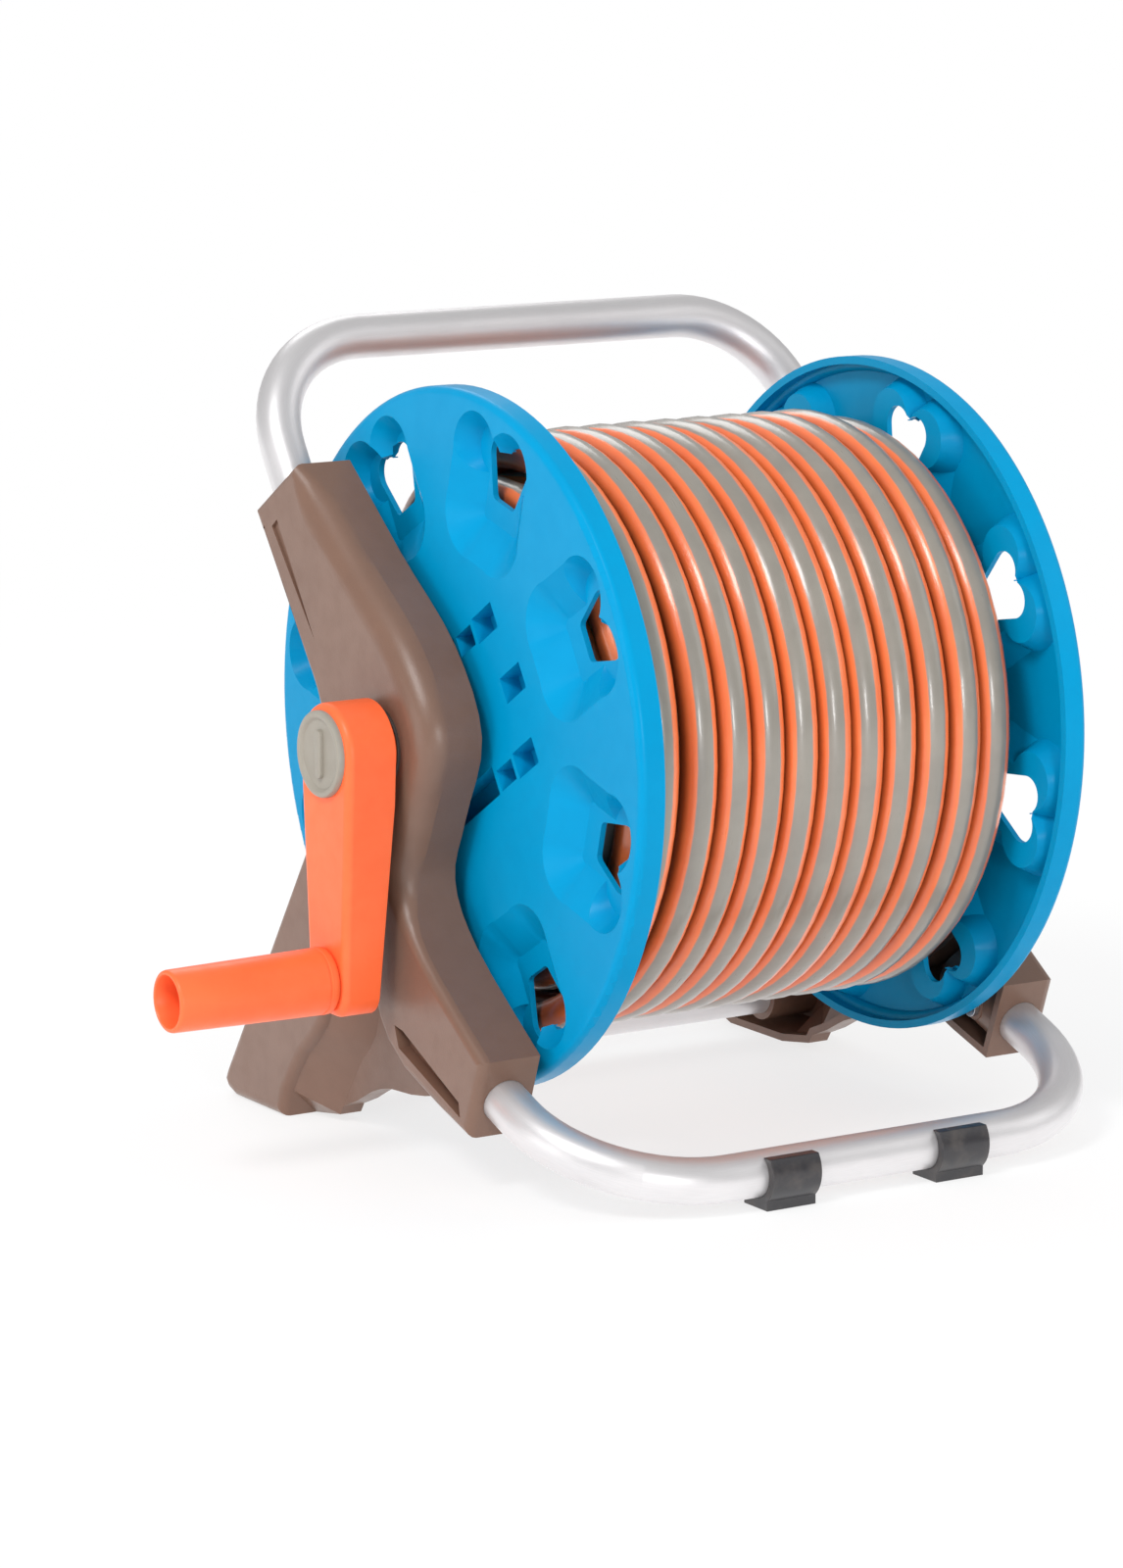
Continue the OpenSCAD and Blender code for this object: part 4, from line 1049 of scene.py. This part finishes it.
@dataclass
class Crank(Assembly):
    """Crank arm with its screw and cap, and the grip with its pin and screw.

    Attributes:
        outer: Distance of the arm's outer face from the middle.
        arm_round: Width of the rounding of the arm's outer rim.
        holes: Radii round the drum axis and the grip's pin within which no edge is rounded.
        cap_r: Radius of the cap.
        cap_t: Height of the cap over the arm.
        bar: Half the width and half the length of the bar on it.
        grip_z: Height of the grip's middle line.
        grip_len: Length of the grip and its gap.
        root_r: Radius of the grip at the arm.
        end_r: Radius at its free end.
        wall: Wall of the grip.
        pin_r: Radius of its bore.
        web_at: Distance of the web inside the grip from the arm.
    """

    outer: float = 151.0
    arm_round: float = 4.5
    holes: tuple[float, float] = (13.0, 8.0)
    cap_r: float = 16.0
    cap_t: float = 2.5
    bar: tuple[float, float] = (2.1, 9.0)
    grip_z: float = -84.0
    grip_len: float = 65.0
    root_r: float = 12.5
    end_r: float = 11.5
    wall: float = 2.0
    pin_r: float = 5.05
    web_at: float = 37.7

    def on_rim(self, edge: Edge) -> bool:
        """Whether an edge is on the arm's outer rim."""
        middle = ((edge.verts[0].co + edge.verts[1].co) / 2).yz
        centres = Vector((0, 0)), Vector((0, self.grip_z))
        if any((middle - centre).length < r for centre, r in zip(centres, self.holes)):
            return False
        outside = all(abs(v.co.x + self.outer) < 0.01 for v in edge.verts)
        return outside and edge.calc_face_angle(0) > RIM_CREASE

    def arm(self) -> None:
        """Builds the arm with its soft outer rim."""
        shape = copy_of(self.nodes["crank_arm"], "crank_arm_moulded")
        shape.bevel(self.on_rim, self.arm_round, RIM_FLATS)
        shape.finish(Body.DRUM, self.looks, "crank_orange", ["crank_arm"], angle=40, edge=0.4)

    def cap(self) -> None:
        """Builds the round cap with its dished face and bar."""
        x, r, (half, reach) = -self.outer, self.cap_r, self.bar
        top = x - self.cap_t
        profile = [
            (x + 8, 0), (x + 8, 9.2), (x + 1, 9.4), (x + 1, r - 0.6), (x + 0.3, r - 0.1),
            (x - 0.2, r), (top + 1, r), (top + 0.3, r - 0.4), (top, r - 1.1), (top, r - 1.9),
            (top + 0.4, r - 2.6), (top + 1.3, r - 3.4), (top + 1.4, r - 4.2), (top + 1.4, 0),
        ]
        shape = Shape("crank_cap_moulded").lathe(profile, 96)
        bar = Shape("bar").block((top - 0.1, -half, -reach), (top + 1.6, half, reach))
        bar.bevel(lambda e: abs(e.verts[0].co.x - e.verts[1].co.x) > 1, half - 0.1, 5)
        bar.bevel(lambda e: all(v.co.x < top for v in e.verts), 0.5, 2)
        data = bpy.data.meshes.new("bar")
        bar.mesh.to_mesh(data)
        bar.mesh.free()
        shape.mesh.from_mesh(data)
        bpy.data.meshes.remove(data)
        shape.finish(Body.DRUM, self.looks, "cap_grey", ["crank_cap"])

    def grip(self) -> None:
        """Builds the grip with a ring groove near the arm, open at its free end."""
        x0, x1 = -self.outer - 0.3, -self.outer - self.grip_len
        root, end, inner = self.root_r, self.end_r, self.end_r - self.wall
        web = -self.outer - self.web_at
        slope = (root - end) / (x0 - x1)

        def on_side(back: float) -> tuple[float, float]:
            """Point of the tapered side at a distance from the arm."""
            return x0 - back, root - back * slope

        profile = [
            (x0, self.pin_r), (x0, root - 1.2), (x0 - 0.35, root - 0.5), (x0 - 1.0, root - 0.1),
            on_side(2.0), on_side(3.2), (x0 - 3.5, root - 0.45), (x0 - 4.1, root - 0.45),
            on_side(4.4), on_side(20), on_side(40), (x1 + 1.2, end), (x1 + 0.4, end - 0.25),
            (x1, end - 0.8), (x1, inner + 0.4), (x1 + 0.5, inner), (web - 0.8, inner),
            (web, inner - 0.8), (web, self.pin_r),
        ]
        shape = Shape("grip_moulded").lathe(profile, 72, closed=True)
        shape.move(Matrix.Translation((0, 0, self.grip_z)))
        shape.finish(Body.GRIP, self.looks, "crank_orange", ["grip"], angle=40)

    def build(self) -> None:
        """Builds the crank."""
        self.arm()
        self.cap()
        self.grip()
        names = ("crank_screw", "grip_pin", "grip_screw")
        self.dress(Body.DRUM, ((name, "steel", 0.2) for name in names))


@dataclass
class Inlet(Assembly):
    """Elbow with its clip and seal."""

    def build(self) -> None:
        """Builds the inlet."""
        self.dress(Body.INLET, (
            ("inlet_elbow", "fitting_black", 0.5),
            ("elbow_clip", "steel", 0.3),
            ("nipple_seal", "seal_black", 0.0),
        ))


@dataclass
class Studio:
    """Camera, lamps, sky and floor.

    Attributes:
        azimuth: Camera's turn to the left of the front, in degrees.
        elevation: Its height above the horizon, in degrees.
        distance: Its distance from the drum axis in metres.
        lens: Focal length in millimetres.
        sensor: Width of the sensor in millimetres.
        shift: Shift of the picture in shares of its long side.
        aim_z: Height in metres that the lamps look at.
        floor_size: Reach of the floor in metres.
        sky: Strength of the sky as a lamp.
        sheen: Strength of the sky in reflections.
        haze: Share of the floor that shows plain white near the reel.
        clear: Distances in metres between which the rest of it turns white too.
        bounce: Strength of the floor's own light on the reel.
        lift: Share of that light in what falls on the reel.
        shine: Share that reflections get on top of it.
    """

    azimuth: float = -32.74
    elevation: float = 10.01
    distance: float = 2.047
    lens: float = 124.64
    sensor: float = 36.0
    shift: tuple[float, float] = (-0.07156, -0.04425)
    aim_z: float = 0.15
    floor_size: float = 60.0
    sky: float = 0.7
    sheen: float = 0.5
    haze: float = 0.74
    clear: tuple[float, float] = (0.3, 1.5)
    bounce: float = 1.7
    lift: float = 0.22
    shine: float = 0.33

    def camera(self) -> None:
        """Stands the camera where the photograph was taken."""
        a, e = math.radians(self.azimuth), math.radians(self.elevation)
        back = Vector((math.sin(a) * math.cos(e), -math.cos(a) * math.cos(e), math.sin(e)))
        data = bpy.data.cameras.new("camera")
        data.lens, data.sensor_width = self.lens, self.sensor
        data.shift_x, data.shift_y = self.shift
        data.clip_start, data.clip_end = 0.05, 200.0
        camera = bpy.data.objects.new("camera", data)
        camera.location = AXIS_PLACE * MM + back * self.distance
        camera.rotation_mode = "QUATERNION"
        camera.rotation_quaternion = (-back).to_track_quat("-Z", "Y")
        bpy.context.scene.collection.objects.link(camera)
        bpy.context.scene.camera = camera

    def lamp(self, name: str, place: Sequence[float], size: float, power: float) -> None:
        """Adds a soft lamp that looks at the reel.

        Args:
            name: Its name.
            place: Where it stands, in metres.
            size: Its side in metres.
            power: Its power in watts.
        """
        data = bpy.data.lights.new(name, "AREA")
        data.shape, data.size, data.energy = "SQUARE", size, power
        lamp = bpy.data.objects.new(name, data)
        lamp.location = place
        aim = Vector((0, 0, self.aim_z)) - Vector(place)
        lamp.rotation_mode = "QUATERNION"
        lamp.rotation_quaternion = aim.to_track_quat("-Z", "Y")
        bpy.context.scene.collection.objects.link(lamp)

    @staticmethod
    def rays(bench: Bench) -> tuple[Signal, Signal]:
        """Camera rays, and those of reflections."""
        path = bench.add("ShaderNodeLightPath").outputs
        return Signal(bench, path["Is Camera Ray"]), Signal(bench, path["Is Glossy Ray"])

    def world(self) -> None:
        """Makes an even sky that shows white."""
        world = bpy.data.worlds.new("sky")
        bpy.context.scene.world = world
        world.use_nodes = True
        bench = Bench("sky_nodes")
        bpy.data.materials.remove(bench.material)
        bench.tree = world.node_tree
        bench.tree.nodes.clear()
        seen, mirrored = self.rays(bench)
        strength = self.sky + seen * (1 - self.sky) + mirrored * (self.sheen - self.sky)
        inputs = {"Color": (1, 1, 1, 1), "Strength": strength}
        back = bench.add("ShaderNodeBackground", inputs)
        bench.add("ShaderNodeOutputWorld", {"Surface": back.outputs[0]})

    def floor(self) -> None:
        """Lays a pale floor that keeps a soft shadow."""
        data = bpy.data.meshes.new("floor")
        mesh = bmesh.new()
        bmesh.ops.create_grid(mesh, x_segments=1, y_segments=1, size=self.floor_size)
        mesh.to_mesh(data)
        mesh.free()
        floor = bpy.data.objects.new("floor", data)
        bpy.context.scene.collection.objects.link(floor)
        bench = Bench("floor_paper")
        paper = bench.add("ShaderNodeBsdfDiffuse", {"Color": (0.93, 0.93, 0.93, 1)})
        seen, mirrored = self.rays(bench)
        strength = self.bounce + seen * (1 - self.bounce)
        glow = bench.add("ShaderNodeEmission", {"Color": (1, 1, 1, 1), "Strength": strength})
        length = bench.add("ShaderNodeVectorMath", [bench.place()], operation="LENGTH")
        away = Signal(bench, length.outputs["Value"])
        white = seen * (self.haze + away.between(*self.clear) * (1 - self.haze))
        white = white + (1 - seen) * self.lift + mirrored * self.shine
        mixed = bench.add("ShaderNodeMixShader", [white, paper.outputs[0], glow.outputs[0]])
        bench.add("ShaderNodeOutputMaterial", {"Surface": mixed.outputs[0]})
        data.materials.append(bench.material)

    def build(self) -> None:
        """Builds the studio."""
        self.camera()
        self.world()
        self.floor()
        for name, place, size, power in LAMPS:
            self.lamp(name, place, size, power)
        bpy.context.scene.view_settings.view_transform = "Standard"


def finishes() -> Looks:
    """Builds every material.

    Returns:
        Materials by slot.
    """
    made = [
        MouldedPlastic("panel_brown", (119, 90, 75), (109, 81, 67), 0.34, 1500, 5e-5, 0.12, 0.45),
        MouldedPlastic("flange_blue", (0, 145, 195), (0, 137, 187), 0.28, 1100, 2e-5, 0.04, 0.07),
        MouldedPlastic("crank_orange", (255, 112, 62), (250, 101, 52), 0.36, 1200, 2e-5, 0.1, 0.3),
        MouldedPlastic("cap_grey", (152, 146, 135), (143, 137, 126), 0.45, 1500, 4e-5, 0.2),
        MouldedPlastic("barrel_black", (40, 44, 52), (32, 36, 43), 0.45),
        # Painted shade: the bushes get a dark brown-grey instead of their own nylon colour, so that
        # they read as the shade between the crank arm and the panel.
        MouldedPlastic("bush_nylon", (66, 58, 54), (56, 49, 46), 0.4),
        MouldedPlastic("fitting_black", (46, 48, 52), (36, 38, 42), 0.38),
        DrawnTube("tube_aluminium"),
        PlatedSteel("steel"),
        SoftRubber("foot_rubber"),
        SoftRubber("seal_black", (24, 24, 26), 0.32),
        BandedHose("hose_pvc"),
    ]
    return {finish.slot: finish.build() for finish in made}


def main() -> None:
    """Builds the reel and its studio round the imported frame."""
    logging.basicConfig(level=logging.INFO, format="%(message)s")
    for thing in list(bpy.data.objects):
        bpy.data.objects.remove(thing)
    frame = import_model()
    Studio().build()
    looks = finishes()
    for assembly in (Stand, Hose, Drum, Crank, Inlet):
        assembly(frame["nodes"], looks).build()
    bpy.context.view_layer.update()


if __name__ == "__main__":
    main()
